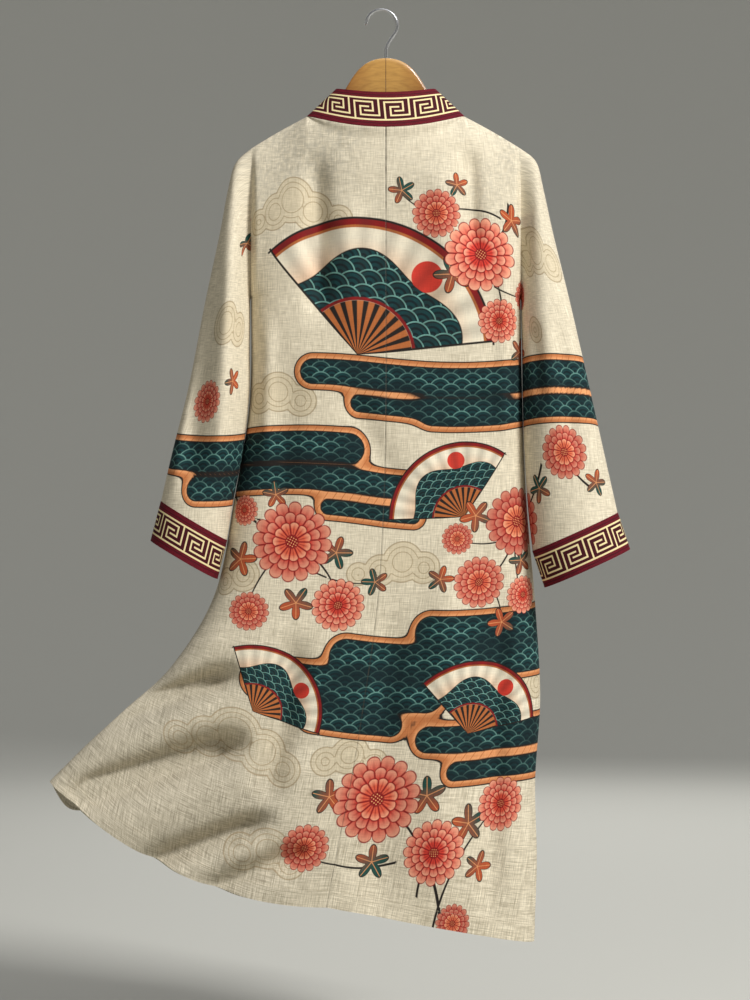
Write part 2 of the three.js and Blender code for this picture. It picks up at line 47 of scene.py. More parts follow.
HOOK_TURN = np.radians(-37)  # where the hook's arc ends and its neck begins
BEND_PULL = 14.0, 20.0  # how strongly the wire holds its direction out of the arc and into the stem
BEND_END_Z = -55.7
STEM_END_Z = -84.0
WIRE_SPOKES = 20
STEEL = (0.74, 0.74, 0.75, 1)
STEEL_SCUFF = (0.52, 0.52, 0.54, 1)


class Value:
    """A number that changes over a surface. Its arithmetic adds Math nodes to its material."""

    def __init__(self, finish, socket):
        self.finish, self.socket = finish, socket

    def __add__(self, other):
        return self.finish.math("ADD", self, other)

    def __mul__(self, other):
        return self.finish.math("MULTIPLY", self, other)

    __radd__, __rmul__ = __add__, __mul__

    def __sub__(self, other):
        return self.finish.math("SUBTRACT", self, other)

    def __rsub__(self, other):
        return self.finish.math("SUBTRACT", other, self)

    def __truediv__(self, other):
        return self.finish.math("DIVIDE", self, other)

    def __abs__(self):
        return self.finish.math("ABSOLUTE", self)


class Finish:
    """A material with one Principled shader. The slot it is given is kept but not used.

    The shader's plain numbers are given by name.
    """

    def __init__(self, name, slot, **sockets):
        self.material, self.slot = bpy.data.materials.new(name), slot
        self.material.use_nodes = True
        self.tree = self.material.node_tree
        self.shader = self.tree.nodes["Principled BSDF"]
        for socket, number in sockets.items():
            self.shader.inputs[socket.replace("_", " ")].default_value = number

    def plug(self, socket, value):
        """Links a value to a socket, or sets the socket to a plain number or colour."""
        if isinstance(value, Value):
            self.tree.links.new(value.socket, socket)
        else:
            socket.default_value = value

    def show(self, socket, value):
        """Links a value to a socket of the shader."""
        self.plug(self.shader.inputs[socket], value)

    def node(self, kind, settings, inputs, output=0):
        """Adds a node: its settings first, with a ramp's as stops, and then its sockets."""
        made = self.tree.nodes.new("ShaderNode" + kind)
        for name, setting in settings.items():
            if name == "stops":
                for place, _ in setting[1:-1]:
                    made.color_ramp.elements.new(place)
                for element, (place, colour) in zip(made.color_ramp.elements, setting):
                    element.position, element.color = place, colour
            else:
                setattr(made, name, setting)
        for name, value in inputs.items():
            self.plug(made.inputs[name], value)
        return Value(self, made.outputs[output])

    def math(self, operation, *values):
        """One operation of the Math node."""
        return self.node("Math", {"operation": operation}, dict(enumerate(values)))

    def far(self, x, y):
        """The distance from the origin."""
        return self.math("SQRT", x * x + y * y)

    def split(self, vector):
        """The three numbers of a vector."""
        return [self.node("SeparateXYZ", {}, {0: vector}, axis) for axis in range(3)]

    def attribute(self, name):
        """The three numbers of an attribute of the mesh."""
        return self.split(self.node("Attribute", {"attribute_name": name}, {}, "Vector"))

    def above(self, value, edge, soft):
        """0 where a value is under an edge, 1 where it is over it, with a soft step between."""
        inputs = {0: value, 1: 1 / soft, 2: 0.5 - edge / soft}
        return self.node("Math", {"operation": "MULTIPLY_ADD", "use_clamp": True}, inputs)

    def under(self, value, edge, soft):
        """1 where a value is under an edge and 0 where it is over it."""
        return self.above(value, edge, -soft)

    def mix(self, share, first, second):
        """One colour, turning into another as share goes from 0 to 1."""
        return self.node("Mix", {"data_type": "RGBA"}, {0: share, 6: first, 7: second}, 2)

    def lay(self, colour, *coats):
        """Lays coats over a colour one after another, each given as where it lies and its colour."""
        for where, coat in coats:
            colour = self.mix(where, colour, coat)
        return colour

    def noise(self, where, stretch, detail=2.0):
        """Cloudy numbers round 0.5. stretch is how many lumps there are to a metre each way."""
        place = self.node("Mapping", {}, {"Vector": where, "Scale": stretch})
        return self.node("TexNoise", {}, {"Vector": place, "Scale": 1.0, "Detail": detail})

    def bump(self, height, reach, strength=1.0):
        """Raises the surface by a height of 0 to 1 times reach, in metres."""
        inputs = {"Height": height, "Distance": reach, "Strength": strength}
        self.show("Normal", self.node("Bump", {}, inputs))


def hermite(start, start_slope, end, end_slope, t):
    """A cubic between two values with given slopes."""
    t2, t3 = t * t, t**3
    rise = (2 * t3 - 3 * t2 + 1) * start + (3 * t2 - 2 * t3) * end
    return rise + (t3 - 2 * t2 + t) * start_slope + (t3 - t2) * end_slope


def new_piece(name, node, finish, points, faces, corner_data=None, sharp=40):
    """A smooth mesh from points in millimetres, which stands for a CAD node on the one body.

    corner_data is {name: (corners, 2 or 3)}: a UV map where it has two columns.
    """
    mesh = bpy.data.meshes.new(name)
    mesh.from_pydata((points * MM).tolist(), [], faces)
    for key, data in (corner_data or {}).items():
        if data.shape[-1] == 2:
            mesh.uv_layers.new(name=key).uv.foreach_set("vector", data.astype(np.float32).ravel())
        else:
            layer = mesh.attributes.new(key, "FLOAT_VECTOR", "CORNER")
            layer.data.foreach_set("vector", data.astype(np.float32).ravel())
    mesh.shade_smooth()
    mesh.set_sharp_from_angle(angle=np.radians(sharp))
    mesh.materials.append(finish.material)
    piece = bpy.data.objects.new(name, mesh)
    bpy.context.scene.collection.objects.link(piece)
    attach(piece, "root")
    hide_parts(node)
    return piece


def tube_faces(rings, spokes, turned=False):
    """Four-sided faces between the rings of a tube, and one many-sided face over each end."""
    number = np.arange(rings)[:, None] * spokes + np.arange(spokes + 1) % spokes
    around = number[:-1, :-1], number[:-1, 1:], number[1:, 1:], number[1:, :-1]
    faces = np.stack(around, -1).reshape(-1, 4).tolist()
    faces.append(number[0, -2::-1].tolist())
    faces.append(number[-1, :-1].tolist())
    return [face[::-1] for face in faces] if turned else faces


def hook_path():
    """An arc from the free end over the top, then three points down the neck to the stem's end."""
    angle = np.linspace(np.pi, HOOK_TURN, 60)
    centre_z = WIRE / 2 - HOOK_RADIUS
    arc = np.stack([HOOK_RADIUS * np.cos(angle), centre_z + HOOK_RADIUS * np.sin(angle)], 1)
    leaving = np.array([np.sin(HOOK_TURN), -np.cos(HOOK_TURN)]) * BEND_PULL[0]
    arriving = np.array([0.0, -1.0]) * BEND_PULL[1]
    way = np.linspace(0, 1, 24)[1:, None]
    bend = hermite(arc[-1], leaving, np.array([CENTRE_X, BEND_END_Z]), arriving, way)
    stem_z = np.linspace(BEND_END_Z, STEM_END_Z, 7)[1:]
    stem = np.stack([np.full(len(stem_z), CENTRE_X), stem_z], 1)
    flat = np.concatenate([arc, bend, stem])
    return np.stack([flat[:, 0], np.zeros(len(flat)), flat[:, 1]], 1)


def wire_tube(path, radius, spokes):
    """Circles across the path, which shrink to a rounded tip at its start."""
    step = np.gradient(path, axis=0)
    step /= np.linalg.norm(step, axis=1, keepdims=True)
    side = np.array([0.0, 1.0, 0.0])
    across = np.cross(step, side)
    turn = np.linspace(0, 2 * np.pi, spokes, endpoint=False)[:, None]
    length = np.concatenate([[0], np.cumsum(np.linalg.norm(np.diff(path, axis=0), axis=1))])
    size = radius * np.sqrt(1 - (1 - np.clip(length / radius, 0.02, 1)) ** 2)
    ring = np.cos(turn) * side + np.sin(turn) * across[:, None]
    return (path[:, None] + ring * size[:, None, None]).reshape(-1, 3)


steel = Finish("bright_steel", "steel", Metallic=1.0, Roughness=0.18)
place = steel.node("TexCoord", {}, {}, "Object")
scuffs = steel.noise(place, (300, 300, 40), 4.0)
steel.show("Base Color", steel.mix(scuffs, STEEL, STEEL_SCUFF))
steel.show("Roughness", scuffs * 0.25 + 0.08)
steel.bump(scuffs, 0.0002, 0.3)

path = hook_path()
hook_points = wire_tube(path, WIRE / 2, WIRE_SPOKES)
new_piece("hook_wire", "hook", steel, hook_points, tube_faces(len(path), WIRE_SPOKES))

# ---------------------------------------------------------------- the hanger's arms
# Two arms of pale lacquered beech, glued edge to edge under the hook. Each is 12 mm thick, deep
# where they meet, rounded on top, and slopes down under the shoulder of the robe.
NECK_HALF = 110.0
NECK_Z = -148.5
SHOULDER_SLOPE = 0.5
SHOULDER_CURVE = 0.0009
WOOD_THICK = 12.0
WOOD_TOP_Z = -66.0
WOOD_CLEARANCE = 4.3
WOOD_TIP_X = 180.0
WOOD_DROP = 22.0
WOOD_CENTRE_DROP = 56.0
ARM_SPOKES = 48
JOINT_GAP = 0.03  # half of it, in the dark glue line
TIP_FINE_X = 150.0  # from here to the tip the sections are closer together
TIP_ROUND = 9.0  # how far from its end an arm starts to round off
ARM_SOFTNESS = 0.45  # of its section: 1 is an ellipse, and less is squarer
SIDES = {"left": -1, "right": 1}


def lerp(a, b, t):
    """The way from a to b, at the share t."""
    return a + (b - a) * t


def srgb(*numbers):
    """A colour for a socket from its 0 to 255 screen numbers."""
    c = np.array(numbers) / 255
    return (*np.where(c <= 0.04045, c / 12.92, ((c + 0.055) / 1.055) ** 2.4), 1.0)


WOOD_PALE, WOOD_WARM, WOOD_LINE = srgb(188, 142, 73), srgb(144, 90, 34), srgb(112, 66, 24)
GLUE = srgb(70, 42, 18)


def shoulder_z(x):
    """The height of the shoulder: a slope from beside the neck which grows steeper."""
    return NECK_Z - SHOULDER_SLOPE * (x - NECK_HALF) - SHOULDER_CURVE * (x - NECK_HALF) ** 2


def bezier(a, b, c, d, count=40):
    """Points of a cubic Bezier curve."""
    t = np.linspace(0, 1, count)[:, None]
    a, b, c, d = (np.array(p, float) for p in (a, b, c, d))
    return a * (1 - t) ** 3 + 3 * b * t * (1 - t) ** 2 + 3 * c * t * t * (1 - t) + d * t**3


def arm_outline(x):
    """Heights of the top and the bottom of an arm at each distance from the middle."""
    below = lambda at: shoulder_z(at) - WOOD_CLEARANCE
    head = bezier((0, WOOD_TOP_Z), (30, WOOD_TOP_Z - 1), (42, -83), (58, -112))
    hollow = bezier((58, -112), (66, -126), (86, below(NECK_HALF) + 14), (NECK_HALF, below(NECK_HALF)))
    line = np.linspace(NECK_HALF, WOOD_TIP_X, 20)
    top = np.concatenate([head, hollow[1:], np.stack([line, below(line)], 1)[1:]])
    tip_bottom = below(WOOD_TIP_X) - WOOD_DROP
    middle = (0, WOOD_TOP_Z - WOOD_CENTRE_DROP)
    bottom = bezier(middle, (80, -152), (150, -190), (WOOD_TIP_X, tip_bottom))
    return np.interp(x, *top.T), np.interp(x, *bottom.T)


def hanger_arm(side):
    """Rounded-square sections from the glued joint to a rounded tip."""
    closing_in = lerp(TIP_FINE_X, WOOD_TIP_X, np.sin(np.linspace(0, np.pi / 2, 24)))
    x = np.concatenate([np.linspace(JOINT_GAP, TIP_FINE_X, 90), closing_in[1:]])
    top, bottom = arm_outline(x)
    middle, half = (top + bottom) / 2, (top - bottom) / 2
    closing = np.sqrt(1 - np.clip((x - WOOD_TIP_X + TIP_ROUND) / TIP_ROUND, 0, 0.999) ** 2)
    turn = np.linspace(0, 2 * np.pi, ARM_SPOKES, endpoint=False)
    round_y = np.sign(np.cos(turn)) * np.abs(np.cos(turn)) ** ARM_SOFTNESS
    round_z = np.sign(np.sin(turn)) * np.abs(np.sin(turn)) ** ARM_SOFTNESS
    y = WOOD_THICK / 2 * closing[:, None] * round_y
    z = middle[:, None] + (half * closing)[:, None] * round_z
    across = np.broadcast_to(side * x[:, None] + CENTRE_X, y.shape)
    return np.stack([across, y, z], -1).reshape(-1, 3), tube_faces(len(x), ARM_SPOKES, side > 0)


def lacquered_beech():
    """Curved growth lines that mirror each other at the joint, pale there and warm at the sides."""
    wood = Finish("lacquered_beech", "wood", Roughness=0.36, Coat_Weight=0.4, Coat_Roughness=0.12)
    place = wood.node("TexCoord", {}, {}, "Object")
    x, y, z = wood.split(place)
    out = abs(x - CENTRE_X * MM)
    mirrored = wood.node("CombineXYZ", {}, {0: out, 1: y, 2: z})
    swirl = wood.noise(mirrored, (26, 40, 34), 3.0)
    rise = z + 0.19
    rings = wood.math("SQRT", out * out * 1.6 + rise * rise)
    lines = wood.math("PINGPONG", rings * 90.0 + swirl * 2.6, 0.5)
    fine = wood.noise(mirrored, (60, 500, 420), 4.0)
    sides = wood.above(out + swirl * 0.03, 0.05, 0.035)
    tone = wood.lay(
        WOOD_PALE, (sides * 0.85, WOOD_WARM), (wood.above(lines, 0.36, 0.3) * 0.2, WOOD_LINE),
        (wood.above(fine, 0.56, 0.2) * 0.25, WOOD_LINE), (wood.under(out, 0.0004, 0.0003), GLUE))
    wood.show("Base Color", tone)
    wood.bump(fine * 0.6 + lines * 0.4, 0.0004, 0.3)
    return wood


wood = lacquered_beech()
for name, side in SIDES.items():
    new_piece("arm_" + name, "hanger_arm_" + name, wood, *hanger_arm(side), sharp=60)

# ---------------------------------------------------------------- the body of the robe
# Two backs and two fronts of slubby natural linen, sewn up the centre back and the sides and
# joined over the shoulders, where they hang on the arms. The cloth is printed, mostly on the back.
CLOTH = 1.2
HEM_DEPTH, HEM_EXTRA = 24.0, 1.0  # the hem is turned up by this much, and so much thicker
SEAM_GAP = 0.1
NECK_DEPTH = 48.0
NECK_DROP = 20.0
NECK_LEAN = 1.2
NECK_SOFTEN, NECK_INSET, SOFTEN_FADE = 0.2, 1.2, 6.0  # how the neck's round rolls off, and how soon
ARM_X = 188.0
ARM_DEPTH = 26.0
UNDERARM_Z = -400.0
SHOULDER_ROUND = 90.0
FALL = 250.0
FOLD_FADE = 4.0
FOLD_LIMIT = 0.7  # a trough takes no more than this share of the section's depth
YOKE_FADE = 4.0
LOOP_FADE = 12
ROUND = 6.0
FRONT_EDGE = 60.0
TIP_SHARE, TIP_WIDTH, TIP_DROP, TIP_FROM_ROW, TIP_CLOSE = 0.96, 0.07, 24.0, 5.5, 40

RING_NAMES = "left_x left_y left_z mid_x mid_y mid_z right_x right_y right_z back front bow"
RING_ROWS = [
    (-188, 0, -400, 0, 0, -400, 188, 0, -400, 46, 40, 0),
    (-190, 2, -545, 0, 0, -550, 191, 4, -550, 52, 44, 0),
    (-211, 2, -680, -3, 0, -690, 197, 6, -690, 56, 48, 0),
    (-238, -6, -815, -12, -2, -830, 209, 8, -830, 60, 50, -2),
    (-296, -26, -914, -30, -8, -960, 216, 8, -960, 60, 50, -10),
    (-362, -52, -976, -48, -14, -1070, 209, 6, -1078, 58, 50, -24),
    (-414, -78, -1024, -66, -20, -1160, 211, 4, -1192, 56, 52, -38),
    (-458, -100, -1069, -82, -26, -1244, 207, 4, -1302, 50, 52, -42),
]
RINGS = {name: np.array(column, float) for name, column in zip(RING_NAMES.split(), zip(*RING_ROWS))}
LAST_RING = len(RING_ROWS) - 1

# x and z of each fold's ends, how wide it spreads, and how far it stands out
BACK_FOLDS = [
    (-96, -190, -92, -450, 17, -15),
    (-48, -250, -45, -470, 20, 5),
    (116, -180, 122, -360, 13, -12),
    (78, -200, 84, -430, 22, 8),
    (-60, -520, 30, -700, 20, -6),
    (150, -520, 60, -640, 18, -6),
    (168, -300, 166, -640, 12, 8),
    (-163, -420, -168, -640, 11, 7),
    (-128, -470, -150, -760, 20, -6),
    (88, -700, 70, -1310, 30, 10),
    (160, -760, 142, -1310, 18, -13),
    (12, -800, -14, -1300, 26, -11),
    (-330, -930, -214, -868, 16, 4),
    (-400, -992, -190, -916, 17, -42),
    (-420, -1034, -222, -970, 18, 4),
    (-458, -1100, -176, -1008, 21, -58),
    (-420, -1150, -150, -1056, 20, 4),
    (-362, -1190, -140, -1114, 17, -36),
    (-270, -1228, -100, -1160, 17, -23),
    (-212, -1215, -110, -1020, 24, 6),
    (-120, -860, -170, -1130, 22, -20),
    (-30, -1190, 40, -900, 24, 8),
]
FRONT_FOLDS = [
    (-120, -240, -118, -520, 17, -8),
    (124, -230, 120, -480, 17, -8),
    (150, -640, 128, -1310, 24, -12),
    (-110, -620, -180, -1240, 26, -11),
    (-200, -860, -340, -1130, 24, -12),
    (-170, -800, -260, -1200, 22, 9),
]
# The valley at each armhole seam is steep on the body's side and wide on the sleeve's
TUCK_DEPTH = {-1: 17.0, 1: 14.0}
TUCK_WIDTH_BODY, TUCK_WIDTH_SLEEVE = 5.0, 17.0
TUCK_IN_FRONT = 0.6


def smooth(t):
    """0 up to 0 and 1 from 1 on, with an S between."""
    t = np.clip(t, 0, 1)
    return t * t * (3 - 2 * t)


def at(column, row):
    """A table's column at fractional rows, on a Catmull-Rom curve through its rows."""
    last = len(column) - 1
    k = np.clip(np.floor(row).astype(int), 0, last - 1)
    value = lambda i: column[np.clip(i, 0, last)]
    slopes = (value(k + 1) - value(k - 1)) / 2, (value(k + 2) - value(k)) / 2
    return hermite(value(k), slopes[0], value(k + 1), slopes[1], row - k)


def fold_height(folds, x, z):
    """Ridges and troughs along straight lines, a bell across and fading at both ends."""
    height = np.zeros(np.broadcast(x, z).shape)
    for x1, z1, x2, z2, width, out in folds:
        dx, dz = x2 - x1, z2 - z1
        length = np.hypot(dx, dz)
        along = ((x - x1) * dx + (z - z1) * dz) / length**2
        off = ((x - x1) * dz - (z - z1) * dx) / length
        fade = smooth(along * FOLD_FADE) * smooth((1 - along) * FOLD_FADE)
        height = height + out * np.exp(-((off / width) ** 2)) * fade
    return height


def tuck(side, x):
    """How far the cloth sinks in, by its distance across the armhole seam."""
    off = np.abs(x) - ARM_X
    width = np.where(off < 0, TUCK_WIDTH_BODY, TUCK_WIDTH_SLEEVE)
    return TUCK_DEPTH[side] * np.exp(-((off / width) ** 2))


def rounding(share):
    """How deep a ring's section is, from 1 at its centre to 0 at the side seam."""
    return np.sqrt(np.maximum(0, 1 - share**ROUND))


def smooth_ring(half, side, share, row):
    """A ring of the body below the underarm, before it is folded: x, y and z.

    It goes straight from the centre line to the side seam, and swells out by its rounded section.
    """
    seam = "left_" if side < 0 else "right_"
    value = lambda name: at(RINGS[name], row)
    x = lerp(value("mid_x"), value(seam + "x"), share)
    z = lerp(value("mid_z"), value(seam + "z"), share)
    y = lerp(value("mid_y"), value(seam + "y"), share)
    if side < 0:
        z = z + value("bow") * 4 * share * (1 - share)
        if half > 0:
            curl = np.exp(-(((share - TIP_SHARE) / TIP_WIDTH) ** 2)) * (1 - share**TIP_CLOSE)
            z = z - TIP_DROP * curl * smooth((row - TIP_FROM_ROW) / (LAST_RING - TIP_FROM_ROW))
    return x, y + half * value("back" if half < 0 else "front") * rounding(share), z


def ring(half, side, share, row, folded=1):
    """The same ring with its folds, which end at the side seams. It has none where folded is 0."""
    x, y, z = smooth_ring(half, side, share, row)
    depth = at(RINGS["back" if half < 0 else "front"], row) * rounding(share)
    fold = fold_height(BACK_FOLDS if half < 0 else FRONT_FOLDS, x, z) * np.sqrt(rounding(share))
    return np.stack([x, y + folded * half * np.maximum(fold, -FOLD_LIMIT * depth), z], -1)


def yoke(half, side, top_x, ring_share, t, folded=1):
    """From the top edge at t = 0, over the hanger and straight down to the ring at the underarm.

    Towards the armhole the section turns into half of the sleeve's own loop. It has no folds where
    folded is 0.
    """
    turn = np.clip(top_x / NECK_HALF, 0, 1) if half < 0 else np.ones_like(top_x)
    neck = np.sqrt(1 - turn**2)
    top_z = np.where(turn < 1, NECK_Z - NECK_DROP * neck**2, shoulder_z(top_x))
    spread = np.maximum(NECK_SOFTEN * smooth(t * SOFTEN_FADE), 0.001)
    room = (1 - (top_x / NECK_HALF) ** 2) / spread - NECK_INSET
    soft_neck = np.sqrt(spread * np.logaddexp(0, room)) if half < 0 else 0
    lean = NECK_LEAN * soft_neck
    end_x, end_y, end_z = smooth_ring(half, side, ring_share, np.zeros(1))
    x = hermite(side * top_x, 0, end_x, 0, t)
    y = hermite(half * NECK_DEPTH * soft_neck, half * SHOULDER_ROUND * np.cos(lean), end_y, 0, t)
    z = hermite(top_z, -SHOULDER_ROUND * np.sin(lean), end_z, -FALL, t)
    outward = np.clip((top_x - NECK_HALF) / (ARM_X - NECK_HALF), 0, 1)
    roundness = lerp(1 - t, 1, outward**LOOP_FADE)
    arch = 2 * np.sqrt(t * (1 - t))
    loop = half * ARM_DEPTH * arch * roundness + end_y * smooth(t)
    z = lerp(z, lerp(top_z, end_z, t), smooth(outward))
    folds = BACK_FOLDS if half < 0 else FRONT_FOLDS
    fold = folded * fold_height(folds, x, z) * smooth(t * YOKE_FADE) * np.sqrt(rounding(ring_share))
    fold = fold - tuck(side, x) * arch**2 * (1 if half < 0 else TUCK_IN_FRONT)
    return np.stack([x, lerp(y, loop, smooth(outward)) + half * fold, z], -1)


def lengths(points, axis):
    """Distance along a grid's lines from the first point of each."""
    step = np.linalg.norm(np.diff(points, axis=axis), axis=-1)
    start = np.zeros_like(np.take(step, [0], axis))
    return np.concatenate([start, np.cumsum(step, axis)], axis)


def grid_normals(points, closed=False):
    """Unit cross products of the steps down the rows and across the columns."""
    down = np.gradient(points, axis=0)
    around = np.concatenate([points[:, -2:-1], points, points[:, 1:2]], 1) if closed else points
    across = np.gradient(around, axis=1)
    across = across[:, 1:-1] if closed else across
    normal = np.cross(down, across)
    return normal / np.maximum(np.linalg.norm(normal, axis=-1, keepdims=True), 1e-9)


def draw_back(points, edges):
    """Moves the named edges of a grid into it by half a seam gap."""
    points = points.copy()
    places = {"top": (0, 0, 1), "bottom": (0, -1, -2), "start": (1, 0, 1), "end": (1, -1, -2)}
    for edge in edges:
        axis, outer, inner = places[edge]
        line = points[outer] if axis == 0 else points[:, outer]
        step = (points[inner] if axis == 0 else points[:, inner]) - line
        line += step / np.linalg.norm(step, axis=-1, keepdims=True) * SEAM_GAP / 2
    return points


def cloth(name, node, finish, points, facing, thickness, cut, plan=None, hem=None,
          closed=False):
    """A wall of cloth with two faces and a rim, from a grid of points on its middle.

    facing is 1 where down the rows crossed with across the columns points out of the robe. cut is
    the UV map, and plan and hem are what the print needs. A closed grid's last column lies on its
    first. Corners of the outer face and the rim are numbered from 0, those of the inner face after.
    """
    rows, columns = points.shape[:2]
    count = rows * columns
    normal = grid_normals(points, closed) * facing
    thickness = np.broadcast_to(thickness, (rows, columns))[..., None] / 2
    loop = columns - 1 if closed else columns
    vertex = np.arange(rows)[:, None] * loop + np.arange(columns) % loop
    out, back = np.arange(2 * count).reshape(2, rows, columns)
    pick = np.stack([vertex, vertex + rows * loop]).ravel()
    walls = [
        (out[:-1, :-1], out[1:, :-1], out[1:, 1:], out[:-1, 1:]),
        (back[:-1, :-1], back[:-1, 1:], back[1:, 1:], back[1:, :-1]),
        (out[0, :-1], out[0, 1:], back[0, 1:], back[0, :-1]),
        (out[-1, 1:], out[-1, :-1], back[-1, :-1], back[-1, 1:]),
    ]
    if not closed:
        walls.append((out[1:, 0], out[:-1, 0], back[:-1, 0], back[1:, 0]))
        walls.append((out[:-1, -1], out[1:, -1], back[1:, -1], back[:-1, -1]))
    faces = np.concatenate([np.stack(wall, -1).reshape(-1, 4) for wall in walls])
    faces = faces if facing > 0 else faces[:, ::-1]
    layers = {"cut": cut.reshape(-1, 2)[faces % count]}
    if plan is not None:
        hem = np.broadcast_to(hem, (rows, columns)).reshape(-1)
        layers |= print_layers(plan.reshape(-1, 2)[faces % count], hem[faces % count], faces < count)
    spots = np.stack([points + normal * thickness, points - normal * thickness])[:, :, :loop]
    spots = spots.reshape(-1, 3) + np.array([CENTRE_X, 0, 0])
    sheet = new_piece(name, node, finish, spots, pick[faces].tolist(), layers, 55)


# The print, on a plan of the cut in millimetres. u runs from the centre back towards the right,
# v down from the neck, and the fronts lie FRONT_SHIFT further out.
FRONT_SHIFT = 1000.0
# u, v, radius and turn in degrees
BLOOMS = [
    (132, 196, 52, 10), (70, 140, 34, 40), (158, 288, 31, 75), (206, 250, 22, 0),
    (-124, 600, 56, 20), (-54, 684, 37, 65), (-176, 702, 29, 0), (-196, 560, 22, 30),
    (190, 566, 48, 30), (138, 650, 36, 80), (206, 668, 27, 10), (104, 590, 22, 55),
    (40, 950, 60, 15), (132, 1012, 42, 50), (-46, 1020, 34, 70), (214, 950, 33, 35), (176, 1094, 24, 5),
    (-296, 92, 34, 20), (-238, 150, 22, 60), (290, 470, 38, 55), (-316, 400, 30, 40),
    (420, 300, 34, 10), (480, 560, 40, 35), (-440, 250, 36, 15), (-470, 560, 40, 50),
    (1120, 250, 46, 20), (1090, 800, 50, 60), (-1150, 560, 52, 30), (-1100, 960, 44, 10),
    (1150, 1040, 36, 40),
]
LEAVES = [
    (190, 148, 25, 200), (92, 224, 28, 20), (196, 330, 22, 120), (22, 108, 20, 300), (100, 100, 18, 150),
    (-196, 628, 26, 60), (-62, 612, 24, 200), (-112, 684, 25, 330), (-6, 650, 20, 90), (-150, 536, 20, 10),
    (128, 558, 24, 250), (200, 620, 22, 20), (84, 646, 20, 130), (176, 706, 22, 240),
    (108, 942, 27, 10), (-26, 948, 26, 80), (50, 1034, 25, 220), (172, 974, 25, 300), (196, 1024, 20, 60),
    (-278, 178, 20, 30), (-262, 128, 16, 250), (244, 520, 22, 30), (338, 512, 20, 200),
    (-262, 372, 20, 100), (440, 360, 22, 40), (-420, 320, 22, 200), (430, 520, 22, 90),
    (-420, 520, 22, 140),
    (1160, 320, 26, 30), (-1180, 640, 26, 70), (1060, 880, 24, 50), (-1160, 900, 22, 20),
]
# Stems: u and v of both ends, how far they bow out, and width
STEMS = [
    (190, 124, 132, 196, 9, 3.4), (170, 146, 70, 140, -10, 2.6), (132, 196, 160, 300, 12, 2.6),
    (150, 240, 210, 252, -6, 2.0), (70, 140, 14, 104, 6, 2.0),
    (-240, 520, -124, 600, -10, 3.6), (-124, 600, -50, 690, 14, 2.8), (-124, 600, -182, 712, -12, 2.4),
    (-170, 572, -206, 556, 4, 2.0), (-90, 640, -2, 650, -7, 2.0),
    (250, 486, 190, 566, 10, 3.6), (190, 566, 134, 660, 12, 2.6), (190, 566, 208, 680, -9, 2.4),
    (176, 590, 96, 588, 8, 2.0), (150, 650, 176, 712, 6, 2.0),
    (170, 1150, 46, 950, -28, 4.0), (120, 1070, 136, 1004, 6, 2.8), (84, 1030, -50, 1026, 16, 2.8),
    (150, 1110, 216, 944, 18, 2.8), (160, 1120, 180, 1090, 3, 2.0),
    (-292, 96, -236, 156, 6, 2.0), (330, 520, 292, 478, 4, 3.0),
]
# Mist bands: u of both ends, v, and half their height
BANDS = [
    (-128, 640, 366, 27), (40, 640, 412, 24), (-58, 178, 408, 20),
    (-640, -20, 470, 29), (-330, 96, 516, 25), (-96, 60, 556, 19),
    (48, 430, 712, 30), (-66, 300, 756, 32), (-176, 120, 800, 34), (-92, 66, 846, 24),
    (70, 430, 862, 27), (120, 430, 906, 21),
]
BAND_JOIN = 7.0  # how broadly bands that meet flow into each other
BAND_WAVE, BAND_WAVE_LENGTH = 6.0, 62.0
# Pale clouds: u, v and radius of the lobes
CLOUDS = [
    (-164, 136, 26), (-134, 120, 32), (-102, 136, 28), (-66, 148, 20), (-192, 150, 18),
    (30, 300, 20), (60, 290, 26), (92, 302, 20), (-180, 400, 22), (-150, 390, 28), (-118, 402, 22),
    (270, 200, 26), (306, 190, 34), (346, 208, 26), (262, 300, 18), (-260, 300, 24), (-300, 292, 30),
    (-206, 900, 30), (-170, 884, 38), (-128, 900, 32), (-96, 918, 24), (-244, 916, 24),
    (-130, 1040, 26), (-96, 1028, 30), (-62, 1044, 22),
    (-190, 650, 24), (-220, 662, 20), (60, 630, 22), (30, 622, 28), (0, 634, 22), (-30, 640, 16),
    (180, 790, 22), (212, 782, 26), (250, 792, 22), (-40, 900, 20), (-8, 890, 26), (26, 902, 20),
]
# Open fans: u and v of the pivot, radius, and turn
FANS = [
    (-40, 336, 190, -22), (112, 560, 104, 30), (-150, 846, 96, -38), (150, 860, 100, -16),
    (1140, 640, 150, 20),
]
FAN_SPREAD = np.radians(62)
FAN_LIFT = 0.55  # of its radius, from the pivot to the middle of a fan
TINT_STEP = 0.618  # from one motif's tint to the next, so that neighbours differ


def nearest(table, corners, lift=0.0):
    """Where the corners of each face lie on the motif nearest to the face: across, up, and a tint.

    Distances are in the motif's radii, to a middle that lies lift radii up the motif.
    """
    place_u, place_v, radius, turn = np.array(table, float).T
    turn = np.radians(turn)
    middle = corners.mean(1)
    far_u = middle[:, :1] - place_u + lift * radius * np.sin(turn)
    far_v = middle[:, 1:] - place_v + lift * radius * np.cos(turn)
    best = (np.hypot(far_u, far_v) / radius).argmin(1)[:, None]
    du, dv = corners[..., 0] - place_u[best], place_v[best] - corners[..., 1]
    x = (du * np.cos(turn[best]) + dv * np.sin(turn[best])) / radius[best]
    y = (dv * np.cos(turn[best]) - du * np.sin(turn[best])) / radius[best]
    tint = np.broadcast_to(best * TINT_STEP % 1, x.shape)
    return np.stack([x, y, tint], -1)


